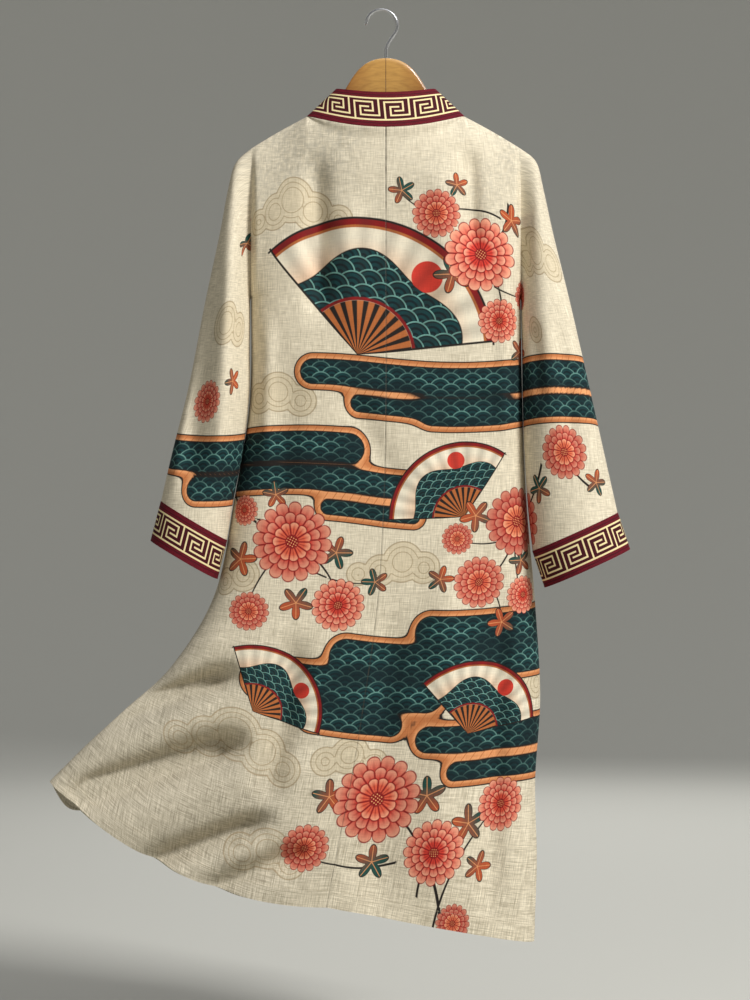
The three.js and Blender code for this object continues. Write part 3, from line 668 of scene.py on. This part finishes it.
def stem_lines(corners):
    """Signed distance across the stem nearest to a face, distance along it, and half its width."""
    u1, v1, u2, v2, bow, width = np.array(STEMS, float).T
    length = np.hypot(u2 - u1, v2 - v1)
    run_u, run_v = (u2 - u1) / length, (v2 - v1) / length

    def measure(u, v, k):
        along = ((u - u1[k]) * run_u[k] + (v - v1[k]) * run_v[k]) / length[k]
        off = (u - u1[k]) * run_v[k] - (v - v1[k]) * run_u[k] - bow[k] * 4 * along * (1 - along)
        return off, along

    middle = corners.mean(1)
    off, along = measure(middle[:, :1], middle[:, 1:], np.arange(len(STEMS)))
    best = np.hypot(off, (np.abs(along - 0.5) - 0.5).clip(0) * length).argmin(1)[:, None]
    off, along = measure(corners[..., 0], corners[..., 1], best)
    return np.stack([off, along, np.broadcast_to(width[best] / 2, off.shape)], -1)


def band_edge(u, v):
    """Distance outside the mist bands, which are bars with round ends that flow together."""
    start, end, level, half = np.array(BANDS, float).T
    beyond = (np.abs(u[..., None] - (start + end) / 2) - (end - start) / 2 + half).clip(0)
    wave = BAND_WAVE * np.sin(u / BAND_WAVE_LENGTH)[..., None]
    each = np.hypot(beyond, v[..., None] - level - wave) - half
    return -BAND_JOIN * np.log(np.exp(-(each.clip(-60, 400) / BAND_JOIN)).sum(-1) + 1e-30)


def cloud_edge(u, v):
    """Distance outside the clouds, which are lobes that run into each other."""
    place_u, place_v, radius = np.array(CLOUDS, float).T
    return (np.hypot(u[..., None] - place_u, v[..., None] - place_v) - radius).min(-1)


def print_layers(corners, hem, outside):
    """The print's layers for each corner of each face, from the plan, which is (faces, 4, 2)."""
    u, v = corners[..., 0], corners[..., 1]
    return {
        "plan": np.stack([u, v, outside.astype(float)], -1),
        "edges": np.stack([band_edge(u, v), cloud_edge(u, v), hem], -1),
        "bloom": nearest(BLOOMS, corners),
        "leaf": nearest(LEAVES, corners),
        "fan": nearest(FANS, corners, FAN_LIFT),
        "stem": stem_lines(corners),
    }


# All four panels share their rows: from the top edge to the underarm, and from there to the hem
YOKE_ROWS, SKIRT_ROWS = 96, 168
NECK_COLUMNS, SIDE_COLUMNS = 48, 58
yoke_t = (1 - np.cos(np.linspace(0, np.pi, YOKE_ROWS)))[:, None] / 2
skirt_row = np.linspace(0, LAST_RING, SKIRT_ROWS + 1)[1:, None]
to_edge = np.sin(np.linspace(0, np.pi / 2, SIDE_COLUMNS))


def plan_of(points, side, start=0.0):
    """The cut's plan, from a grid with no folds: across its rows, and down from the neck's level."""
    level = NECK_Z - points[..., 2]
    below = lengths(points[YOKE_ROWS - 1:], 0)[:, :1] + NECK_Z - UNDERARM_Z
    level[YOKE_ROWS - 1:] = np.broadcast_to(below, level[YOKE_ROWS - 1:].shape)
    return np.stack([side * (start + lengths(points, 1)), level], -1)


def back_grid(side, folded=1):
    """A back panel's points: columns from the centre back past the neck's corner to the side."""
    neck_share = NECK_HALF / ARM_X
    neck_part = neck_share * np.sin(np.linspace(0, np.pi / 2, NECK_COLUMNS))[:-1]
    share = np.concatenate([neck_part, lerp(neck_share, 1, to_edge)])[None]
    upper = yoke(-1, side, share * ARM_X, share, yoke_t, folded)
    return np.concatenate([upper, ring(-1, side, share, skirt_row, folded)])


def share_at(side, distance, row):
    """The share of a ring that lies a distance from the centre line."""
    seam = RINGS["left_x" if side < 0 else "right_x"]
    return distance / np.abs(at(seam, row) - at(RINGS["mid_x"], row))


def front_grid(side, folded=1):
    """A front panel's points: columns from the neckband's seam to the side."""
    share = lambda row: lerp(share_at(side, FRONT_EDGE, row), 1, to_edge[None])
    top_x = lerp(NECK_HALF, ARM_X, to_edge[None])
    upper = yoke(1, side, top_x, share(np.zeros((1, 1))), yoke_t, folded)
    return np.concatenate([upper, ring(1, side, share(skirt_row), skirt_row, folded)])


LINEN_PALE, LINEN_DARK, LINEN_GREY = srgb(229, 218, 194), srgb(172, 160, 134), srgb(150, 145, 131)
# darker copies of the linen: painted shade on the blown-out part of the skirt
SKIRT_SHADE_PALE, SKIRT_SHADE_DARK = srgb(197, 187, 166), srgb(132, 124, 104)
CLOUD_FILL, CLOUD_LINE = srgb(200, 184, 152), srgb(146, 127, 96)
TEAL_DEEP, TEAL, TEAL_LIGHT = srgb(3, 26, 30), srgb(10, 54, 56), srgb(104, 150, 140)
PEACH, OCHRE, INK = srgb(222, 152, 100), srgb(172, 98, 50), srgb(30, 24, 20)
CORAL, CORAL_PALE, CORAL_DEEP = srgb(204, 58, 44), srgb(238, 186, 152), srgb(128, 18, 18)
LEAF_GREEN, LEAF_RUST = srgb(30, 70, 62), srgb(170, 78, 44)
# the seam's dark line: its thread, with painted shade of the seam's groove
SEAM_THREAD_AND_SHADE = srgb(70, 64, 52)


def scallops(ink, x, y, radius):
    """Overlapping circles in staggered rows: the distance from the centre of the one on top."""
    row = ink.math("FLOOR", y / (radius / 2))
    best = None
    for step in (1, 0, -1):
        level = row + step
        shift = ink.math("FLOORED_MODULO", level, 2.0) * radius
        dx = ink.math("WRAP", x - shift, radius, -radius)
        dy = y - level * (radius / 2)
        far = ink.far(dx, dy)
        best = far if best is None else best + (far - best) * ink.math("LESS_THAN", far, radius)
    return best


def woven(ink, cut, v):
    """The weave, 0 in its gaps and 1 on its thick threads: fine crossing threads and longer slubs.

    It shows most in the lower part of the robe, where less of the cloth is inked.
    """
    fine = ink.noise(cut, (1300, 60, 1), 1.0) * 0.5 + ink.noise(cut, (60, 1300, 1), 1.0) * 0.5
    weft, warp = ink.noise(cut, (760, 24, 1), 3.0), ink.noise(cut, (26, 800, 1), 3.0)
    slubs = ink.math("MAXIMUM", ink.above(weft, 0.62, 0.2), ink.above(warp, 0.62, 0.2))
    gaps = ink.math("MAXIMUM", ink.under(weft, 0.4, 0.2), ink.under(warp, 0.4, 0.2))
    coarse = slubs * 0.34 - gaps * 0.4
    patch = ink.noise(cut, (14, 9, 1), 3.0)
    reach = ink.above(v, 760, 700) * 0.6 + ink.above(patch, 0.52, 0.3) * 0.3 + 0.25
    return (ink.above(fine, 0.5, 0.3) - 0.5) * 0.5 + coarse * reach + 0.62


def petals(ink, colour, x, y, tint, size, count, phase):
    """One round of a flower's petals, with dark edges and a streak up the middle of each."""
    reach = ink.far(x, y)
    angle = ink.math("ARCTAN2", x, y)
    cell = ink.math("WRAP", angle * (count / (2 * np.pi)) + phase, 0.5, -0.5)
    tip = ink.math("SQRT", 1.0 - cell * cell * 3.9) * (0.2 * size) + 0.8 * size
    gap = (0.5 - abs(cell)) * reach * (2 * np.pi / count)
    streak = ink.under(abs(cell), 0.1, 0.12) * ink.under(reach / size, 0.76, 0.3)
    edge = ink.math("MAXIMUM", ink.above(reach - tip, -0.03, 0.02), ink.under(gap, 0.02, 0.022))
    petal = ink.lay(
        CORAL, (ink.above(reach / size, 0.86, 0.5), CORAL_PALE),
        (tint * 0.45, CORAL_DEEP if size > 0.6 else PEACH), (streak * 0.6, CORAL_DEEP), (edge, CORAL_DEEP))
    return ink.mix(ink.under(reach - tip, 0, 0.03), colour, petal)


def fan_print(ink, colour):
    """Open fans: sticks, and a pleated leaf with hills of waves and a sun."""
    x, y, _ = ink.attribute("fan")
    reach = ink.far(x, y)
    angle = ink.math("ARCTAN2", x, y)
    soft = 0.006
    within = ink.under(abs(angle), FAN_SPREAD, 0.01)
    leaf = within * ink.above(reach, 0.4, soft) * ink.under(reach, 1.0, soft)
    sticks = within * ink.under(reach, 0.4, soft)
    pleat = ink.math("PINGPONG", angle + FAN_SPREAD, FAN_SPREAD / 10)
    hill = scallops(ink, x * 150.0, y * 150.0, 17.0)
    hills = ink.lay(
        TEAL, (ink.above(ink.math("PINGPONG", hill, 3.0), 1.8, 1.0), TEAL_DEEP),
        (ink.above(hill, 15.4, 0.8), TEAL_LIGHT))
    crest = reach + ink.math("SINE", angle * 5.0) * 0.06
    sun = ink.under(ink.far(x - 0.26, y - 0.72), 0.115, soft) * ink.above(crest, 0.716, soft)
    paper = ink.lay(
        PEACH, (ink.above(reach, 0.66, 0.4), LINEN_PALE), (ink.under(crest, 0.725, soft), INK),
        (ink.under(crest, 0.716, soft), hills), (sun, CORAL), (ink.above(reach, 0.93, soft), OCHRE),
        (ink.above(reach, 0.95, soft), CORAL_DEEP), (ink.under(reach, 0.425, soft), CORAL_DEEP),
        (ink.above(pleat, FAN_SPREAD / 20, FAN_SPREAD / 14) * 0.3, INK))
    slat = ink.mix(ink.under(pleat, FAN_SPREAD / 22, 0.02), OCHRE, INK)
    sides = abs(abs(angle) - FAN_SPREAD) * reach
    rim = ink.under(ink.math("MINIMUM", abs(reach - 1.0), sides), 0.008, soft)
    inside = ink.under(reach, 1.02, soft) * ink.under(abs(angle), FAN_SPREAD + 0.03, 0.01)
    return ink.lay(colour, (leaf, paper), (sticks, slat), (rim * inside, INK))


def leaf_print(ink, colour, soft):
    """Dark brushed stems and five-lobed leaves with pale veins."""
    off, along, half = ink.attribute("stem")
    taper = half * (1.25 - along * 0.6)
    ends = ink.above(along, 0, 0.02) * ink.under(along, 1, 0.02)
    x, y, tint = ink.attribute("leaf")
    reach = ink.far(x, y)
    angle = ink.math("ARCTAN2", x, y)
    lobe = ink.math("POWER", abs(ink.math("COSINE", angle * 2.5)), 1.5)
    edge = reach - lobe * 0.62 - 0.36
    vein = ink.under(abs(ink.math("SINE", angle * 2.5)) * reach, 0.05, 0.05)
    tone = ink.lay(LEAF_RUST, (ink.above(y + tint, 0.5, 1.2), LEAF_GREEN), (vein * 0.8, PEACH))
    return ink.lay(
        colour, (ink.under(abs(off) - taper, 0, soft) * ends, INK), (ink.under(edge, 0, 0.05), INK),
        (ink.under(edge, -0.07, 0.05), tone))


def band_print(ink, colour, band, u, v, cut, soft):
    """Mist bands filled with overlapping waves, inside a peach border with slanting strokes."""
    far = scallops(ink, u, 0 - v, 15.0)
    ripple = ink.math("PINGPONG", far, 2.9)
    shade = ink.noise(cut, (14, 20, 1), 2.0)
    wave = ink.lay(
        TEAL, (ink.above(ripple, 1.7, 1.0), TEAL_DEEP), (ink.above(far, 13.4, 0.8) * 0.8, TEAL_LIGHT),
        (ink.above(shade, 0.54, 0.16) * 0.7, TEAL_DEEP), (ink.above(band, -20, 16) * 0.65, TEAL_DEEP))
    rungs = ink.under(abs(ink.math("WRAP", u + v * 0.6, 6.0, -6.0)), 0.6, soft)
    border = ink.lay(PEACH, (ink.above(band, -6.0, 4.0) * 0.75, OCHRE), (rungs * 0.8, OCHRE))
    return ink.lay(
        colour, (ink.under(band, 0, soft), INK), (ink.under(band, -1.7, soft), border),
        (ink.under(band, -8.6, soft), INK), (ink.under(band, -10.2, soft), wave))


def printed_linen():
    """The linen's weave and slubs, with the print over it on the outside."""
    ink = Finish("printed_linen", "linen", Roughness=0.88, Specular_IOR_Level=0.3)
    cut = ink.node("UVMap", {"uv_map": "cut"}, {})
    u, v, outside = ink.attribute("plan")
    band, cloud, hem = ink.attribute("edges")
    weave = woven(ink, cut, v)
    soft = 0.9

    # painted shade: the blown-out lower left of the skirt takes a darker copy of the linen, and fainter
    # clouds
    bare_shaded_skirt = ink.above(v - u * 0.9, 960, 240) * ink.under(u, -40, 140)
    mottle = ink.above(ink.noise(cut, (130, 150, 1), 5.0), 0.5, 0.3)
    # greyer patches in the upper part, fading out below the neck
    grey_near_neck = ink.above(ink.noise(cut, (7, 6, 1), 3.0), 0.47, 0.2) * ink.under(v, 150, 170)
    ground = ink.lay(
        LINEN_DARK, (weave, LINEN_PALE), (bare_shaded_skirt * 0.9, ink.mix(weave, SKIRT_SHADE_DARK, SKIRT_SHADE_PALE)),
        (grey_near_neck * mottle * 0.5, LINEN_GREY))

    colour = ink.mix(ink.under(cloud, 0, soft) * (0.6 - bare_shaded_skirt * 0.5), ground, CLOUD_FILL)
    for depth, width in ((0, 0.9), (-7, 0.6), (-14, 0.6)):
        colour = ink.mix(ink.under(abs(cloud - depth), width, soft) * 0.7, colour, CLOUD_LINE)
    colour = band_print(ink, colour, band, u, v, cut, soft)
    colour = fan_print(ink, colour)
    colour = leaf_print(ink, colour, soft)
    x, y, tint = ink.attribute("bloom")
    for size, count, phase in ((1.0, 16, 0.0), (0.74, 14, 0.5), (0.5, 11, 0.2)):
        colour = petals(ink, colour, x, y, tint, size, count, phase)
    reach = ink.far(x, y)
    dots = ink.math("SINE", x * 70.0) * ink.math("SINE", y * 70.0)
    colour = ink.lay(
        colour, (ink.under(reach, 0.17, 0.03), CORAL_DEEP),
        (ink.above(dots, 0.45, 0.2) * ink.under(reach, 0.14, 0.03), PEACH))
    colour = ink.mix(outside, ink.mix(0.1, ground, colour), colour)

    # the centre-back seam's dark line, partly its thread and partly painted shade in its groove,
    # which shows most near the neck, and the hem's stitches
    uneven = ink.above(ink.noise(cut, (1, 60, 1), 2.0), 0.5, 0.1)
    seam = ink.under(abs(u), 0.7, 0.5) * (ink.under(v, 120, 60) * 0.5 + uneven * 0.3 + 0.2)
    turned_up = abs(hem - HEM_DEPTH)
    stitch = ink.above(ink.math("PINGPONG", u, 2.5), 0.7, 0.4) * ink.under(turned_up, 0.5, 0.5)
    colour = ink.lay(colour, (seam, SEAM_THREAD_AND_SHADE), (stitch * 0.5, LINEN_DARK))

    tooth = weave * 0.36 + 0.78
    lit = ink.node("VectorMath", {"operation": "SCALE"}, {0: colour, "Scale": tooth})
    ink.show("Base Color", lit)
    pucker = ink.noise(cut, (60, 130, 1), 2.0) * (ink.under(abs(u), 6, 8) + ink.under(turned_up, 4, 6))
    groove = ink.under(abs(u), 1.2, 1.5) + ink.under(turned_up, 0.8, 1.0) * 0.5
    ink.bump(weave * 0.22 + pucker * 0.8 - groove * 0.6, 0.0012, 0.5)
    return ink


def hem_distance(points):
    """How far each point is from the hem, down its own column."""
    down = lengths(points, 0)
    return down[-1:] - down


linen = printed_linen()
# Each panel, with the plan of its cut in metres as its UV map
for name, side in SIDES.items():
    for half, grid, start in ((-1, back_grid, 0.0), (1, front_grid, FRONT_SHIFT)):
        node = ("back_" if half < 0 else "front_") + name
        points = draw_back(grid(side), ["top", "start", "end"])
        hem = hem_distance(points)
        thick = CLOTH + HEM_EXTRA * smooth((HEM_DEPTH + 2 - hem) / 4)
        facing = side if half < 0 else -side
        plan = plan_of(grid(side, 0), side, start)
        cloth(
            node + "_panel", node, linen, points, facing, thick, plan * MM,
            plan, hem)

# ---------------------------------------------------------------- the sleeves
# One piece of the same linen each, sewn into a tube along its lower edge and to the armhole.
SLEEVE_NAMES = "out_x out_z in_x in_z depth mid_y"
ARMHOLE = (ARM_X, shoulder_z(ARM_X), ARM_X, UNDERARM_Z, ARM_DEPTH, 0)
SLEEVE_ROWS = {
    1: [
        ARMHOLE,
        (210, -212, 189.8, -406, 31, -1),
        (220, -250, 190.1, -428, 36, -3),
        (234, -315, 191.1, -475, 40, -6),
        (257, -410, 191.5, -535, 43, -10),
        (284, -530, 193.8, -615, 46, -14),
        (305, -625, 198.8, -695, 48, -17),
        (322, -702, 205, -755, 49, -20),
    ],
    -1: [
        ARMHOLE,
        (210, -214, 190.3, -406, 31, -1),
        (220, -250, 190.4, -428, 36, -3),
        (232, -315, 190.9, -475, 40, -6),
        (252, -410, 190.8, -535, 43, -10),
        (274, -525, 199.2, -612, 46, -14),
        (296, -615, 212, -680, 47, -20),
        (312, -686, 221.8, -740, 48, -24),
    ],
}
SLEEVE_FOLDS = {
    1: [(236, -400, 262, -640, 12, -7), (278, -470, 296, -680, 12, 7), (206, -430, 214, -560, 9, -6)],
    -1: [
        (-214, -270, -228, -700, 16, 11), (-244, -330, -278, -700, 19, -17),
        (-272, -500, -296, -680, 9, 5),
    ],
}
SLEEVE_STEPS, SLEEVE_SPOKES = 110, 120
PLAN_SHIFT = 8.0  # brings the print out to where the body's ends
FAR_FROM_HEM = 900.0


def tube(side, rows, row, spokes):
    """Ellipses between the outer edge at angle 0 and the inner edge, the back at a quarter turn."""
    table = {name: np.array(column, float) for name, column in zip(SLEEVE_NAMES.split(), zip(*rows))}
    angle = np.linspace(0, 2 * np.pi, spokes + 1)[None]
    value = lambda name: at(table[name], row)
    x = lerp(value("in_x"), value("out_x"), (1 + np.cos(angle)) / 2)
    z = lerp(value("in_z"), value("out_z"), (1 + np.cos(angle)) / 2)
    y = value("mid_y") - value("depth") * np.sin(angle)
    return np.stack([side * x, y, z], -1), angle, value("in_x")


for name, side in SIDES.items():
    row = np.linspace(0, len(SLEEVE_ROWS[side]) - 1, SLEEVE_STEPS)[:, None]
    points, angle, inner = tube(side, SLEEVE_ROWS[side], row, SLEEVE_SPOKES)
    swell = fold_height(SLEEVE_FOLDS[side], points[..., 0], points[..., 2]) * np.sin(angle) * smooth(row)
    behind = np.where(np.sin(angle) > 0, 1, -TUCK_IN_FRONT)
    points[..., 1] += tuck(side, points[..., 0]) * np.sin(angle) ** 2 * behind - swell
    points = draw_back(points, ["top", "bottom"])
    turned = lengths(points, 1)
    back_half = turned[:, SLEEVE_SPOKES // 2:SLEEVE_SPOKES // 2 + 1]
    over = back_half - turned + np.where(angle <= np.pi, 0, turned[:, -1:])
    plan = np.stack([side * (over + inner + PLAN_SHIFT), NECK_Z - points[..., 2]], -1)
    cloth(
        "sleeve_tube_" + name, "sleeve_" + name, linen, points, -side, CLOTH, plan * MM,
        plan, FAR_FROM_HEM, closed=True)

# ---------------------------------------------------------------- the cuffs
# A doubled band of maroon cotton round the end of each sleeve, printed with a cream key pattern
# between two lines.
BAND_CLOTH = 2.2
CUFF_ROWS = 24
CUFF_END = {1: (339, -753, 222, -806, 50, -22), -1: (326, -741, 235, -794, 49, -28)}
KEY_LENGTH, KEY_HEIGHT, KEY_LINE = 42.0, 33.0, 2.4
# x from, x to, y from and y to of the unit's strokes, y down from the upper line
KEY_STROKES = [
    (0, 0, 0.175, 1), (1, 1, 0.175, 1), (0, 0.61, 0.175, 0.175), (0.61, 0.61, 0.175, 0.59),
    (0.34, 0.61, 0.59, 0.59), (0.81, 0.81, 0, 0.8), (0.19, 0.81, 0.8, 0.8), (0.19, 0.19, 0.4, 0.8),
    (0.19, 0.46, 0.4, 0.4),
]
MAROON, MAROON_FIELD, MAROON_DARK = srgb(118, 8, 30), srgb(74, 3, 18), srgb(40, 2, 10)
CREAM = srgb(226, 208, 156)
EDGE_STITCH = 21.8  # the stitched line along both edges, from the middle


def key_cotton():
    """Maroon cotton. The UV map's u counts key units, and its v is in millimetres from the middle."""
    ink = Finish("key_cotton", "band", Roughness=0.84, Specular_IOR_Level=0.25)
    cut = ink.node("UVMap", {"uv_map": "cut"}, {})
    u, v, _ = ink.split(cut)
    x = ink.math("FRACT", u)
    y = v / KEY_HEIGHT + 0.5
    key = None
    for x1, x2, y1, y2 in KEY_STROKES:
        past_x = abs(x - (x1 + x2) / 2) * KEY_LENGTH - ((x2 - x1) * KEY_LENGTH + KEY_LINE) / 2
        past_y = abs(y - (y1 + y2) / 2) * KEY_HEIGHT - ((y2 - y1) * KEY_HEIGHT + KEY_LINE) / 2
        stroke = ink.math("MAXIMUM", past_x, past_y)
        key = stroke if key is None else ink.math("MINIMUM", key, stroke)
    border = abs(abs(v) - KEY_HEIGHT / 2) - KEY_LINE / 2
    line = ink.under(ink.math("MINIMUM", key, border), 0, 0.5)
    grain = ink.noise(cut, (34, 1.0, 1), 3.0) * 0.5 + ink.noise(cut, (3.0, 1.6, 1), 3.0) * 0.5
    field = ink.mix(ink.under(abs(v), KEY_HEIGHT / 2, 1.0), MAROON, MAROON_FIELD)
    colour = ink.lay(
        MAROON_DARK, (ink.above(grain, 0.5, 0.4), field),
        (ink.under(abs(abs(v) - EDGE_STITCH), 0.6, 0.5) * 0.7, MAROON_DARK), (line, CREAM))
    lit = ink.node("VectorMath", {"operation": "SCALE"}, {0: colour, "Scale": grain * 0.6 + 0.72})
    ink.show("Base Color", lit)
    ink.bump(grain * 0.5 + line * 0.5, 0.0008, 0.3)
    return ink


cotton = key_cotton()
for name, side in SIDES.items():
    rows = [SLEEVE_ROWS[side][-1], CUFF_END[side]]
    points, angle, _ = tube(side, rows, np.linspace(0, 1, CUFF_ROWS)[:, None], SLEEVE_SPOKES)
    points = draw_back(points, ["top"])
    width = lengths(points, 0)
    round_cuff = lengths(points, 1)
    units = np.round(round_cuff[CUFF_ROWS // 2, -1] / KEY_LENGTH)
    cut = np.stack([-side * round_cuff / round_cuff[:, -1:] * units, width - width[-1:] / 2], -1)
    cloth(
        "cuff_band_" + name, "cuff_" + name, cotton, points, -side, BAND_CLOTH, cut,
        closed=True)

# ---------------------------------------------------------------- the neckband
# A doubled strip of the same maroon cotton, sewn to the neck and down both front edges to the
# hem. Behind the neck it stands up and leans in.
BAND_WIDTH = 52.0
FRONT_GAP = 8.0  # from the centre line to the band's edge
RING_HALF, RING_DEPTH, RING_Z, RING_DROP = 69.0, 30.0, -110.0, 8.0
NECK_WIDTH = np.hypot(NECK_HALF - RING_HALF, RING_Z - NECK_Z)
BAND_FADE = 5.0
BAND_SHARES = np.linspace(0, 1, 14)[None]
BAND_NECK_ROWS = 60
BEHIND_NECK, BESIDE_NECK = 105.0, 90.0  # how far round the neck the key fans out, and how it fades
KEY_PHASE, KEY_SLANT = 0.04, 0.09


def across(seam, free):
    """Points between the band's seam and its free edge, both of them columns of points."""
    return seam[:, None] + (free - seam)[:, None] * BAND_SHARES[..., None]


def band_half(side):
    """One half of the band, from the hem up the front edge and round to the centre back."""
    share = share_at(side, lerp(FRONT_EDGE, FRONT_GAP, BAND_SHARES), skirt_row)
    skirt = ring(1, side, share, skirt_row)
    top_share = share_at(side, FRONT_EDGE, np.zeros((1, 1)))
    seam = yoke(1, side, np.full((1, 1), NECK_HALF), top_share, yoke_t)[:, 0]
    t = yoke_t[:, 0]
    rise = np.arctan2(RING_Z - NECK_Z, NECK_HALF - RING_HALF) * (1 - smooth(t)) * (1 - t)
    width = lerp(NECK_WIDTH, BAND_WIDTH, smooth(t * BAND_FADE))[:, None]
    free = seam + width * np.stack([-side * np.cos(rise), 0 * t, np.sin(rise)], -1)
    angle = np.linspace(np.pi / 2, 0, BAND_NECK_ROWS)
    sin, cos = np.sin(angle), np.cos(angle)
    neck_seam = np.stack([side * NECK_HALF * sin, -NECK_DEPTH * cos, NECK_Z - NECK_DROP * cos**2], -1)
    neck_free = np.stack([side * RING_HALF * sin, -RING_DEPTH * cos, RING_Z - RING_DROP * cos**2], -1)
    return np.concatenate([skirt[::-1], across(seam, free)[:0:-1], across(neck_seam, neck_free)])


def key_places(points):
    """The band's UV map. Behind the neck each column is measured by itself, so the key fans out."""
    along = lengths(points, 0)
    along = along - along[len(points) // 2]
    middle = along[:, BAND_SHARES.size // 2][:, None]
    beside = smooth((np.abs(middle) - BEHIND_NECK) / BESIDE_NECK)
    width = lengths(points, 1)
    height = width[:, -1:] / 2 - width
    run = lerp(along, middle, beside) - KEY_SLANT * height * (1 - beside)
    return np.stack([run / KEY_LENGTH + KEY_PHASE, height], -1)


points = np.concatenate([band_half(-1), band_half(1)[-2::-1]])
points = draw_back(points, ["start"])
cloth("neckband_strip", "neckband", cotton, points, 1, BAND_CLOTH, key_places(points))

# ---------------------------------------------------------------- the studio
# A pale floor that curves up to a wall all round, a soft light on the upper right, weaker ones on
# the left, above and before the robe's front, and the camera straight behind its back.
FLOOR_Z = -1.46
FLOOR_RADIUS, WALL_RADIUS, WALL_HEIGHT = 4.0, 9.0, 6.5
PALE = srgb(186, 185, 177)
CAMERA_X, CAMERA_Z, CAMERA_DISTANCE = -0.0091, -0.6846, 3.89
AIM = (0.0, 0.0, -0.65)


def studio_floor():
    """A disc with a quarter-round edge and a wall, turned about the vertical."""
    bend = np.linspace(0, np.pi / 2, 32)
    curve = WALL_RADIUS - FLOOR_RADIUS
    radius = np.concatenate([[0.01, 2], FLOOR_RADIUS + curve * np.sin(bend), [WALL_RADIUS]])
    height = np.concatenate([[0, 0], curve * (1 - np.cos(bend)), [WALL_HEIGHT]])
    turn = np.linspace(0, 2 * np.pi, 96, endpoint=False)
    shape = (len(radius), len(turn))
    flat = np.stack([radius[:, None] * np.cos(turn), radius[:, None] * np.sin(turn)], -1)
    z = np.broadcast_to(height[:, None] + FLOOR_Z, shape)
    points = np.concatenate([flat, z[..., None]], -1).reshape(-1, 3)
    return points, tube_faces(*shape, True)[:-1]


points, faces = studio_floor()
mesh = bpy.data.meshes.new("studio_floor")
mesh.from_pydata(points.tolist(), [], faces)
mesh.shade_smooth()
pale = Finish("pale_floor", None, Base_Color=PALE, Roughness=0.9)
mesh.materials.append(pale.material)
floor = bpy.data.objects.new("studio_floor", mesh)
bpy.context.scene.collection.objects.link(floor)

# name, place, how wide, watts
LIGHTS = [
    ("key", (3.1, -3.0, 3.35), 1.4, 405),
    ("fill", (-2.0, -3.9, 0.2), 2.6, 6),
    ("top", (0.6, -1.2, 2.4), 1.8, 14),
    ("behind", (0.6, 3.4, 0.8), 2.6, 50),
]
for name, place, size, watts in LIGHTS:
    lamp = bpy.data.lights.new(name, "AREA")
    lamp.size, lamp.energy = size, watts
    holder = bpy.data.objects.new(name, lamp)
    holder.location = place
    holder.rotation_mode = "QUATERNION"
    holder.rotation_quaternion = (Vector(AIM) - Vector(place)).to_track_quat("-Z", "Y")
    bpy.context.scene.collection.objects.link(holder)

world = bpy.data.worlds.new("studio")
bpy.context.scene.world = world
world.use_nodes = True
world.node_tree.nodes["Background"].inputs["Color"].default_value = (0.93, 0.95, 1.0, 1)
world.node_tree.nodes["Background"].inputs["Strength"].default_value = 0.24
bpy.context.scene.view_settings.view_transform = "Standard"

camera = bpy.data.cameras.new("camera")
camera.lens, camera.sensor_width = 100.0, 36.0
eye = bpy.data.objects.new("camera", camera)
eye.location = (CAMERA_X, -CAMERA_DISTANCE, CAMERA_Z)
eye.rotation_euler = (np.pi / 2, 0, 0)
bpy.context.scene.collection.objects.link(eye)
bpy.context.scene.camera = eye
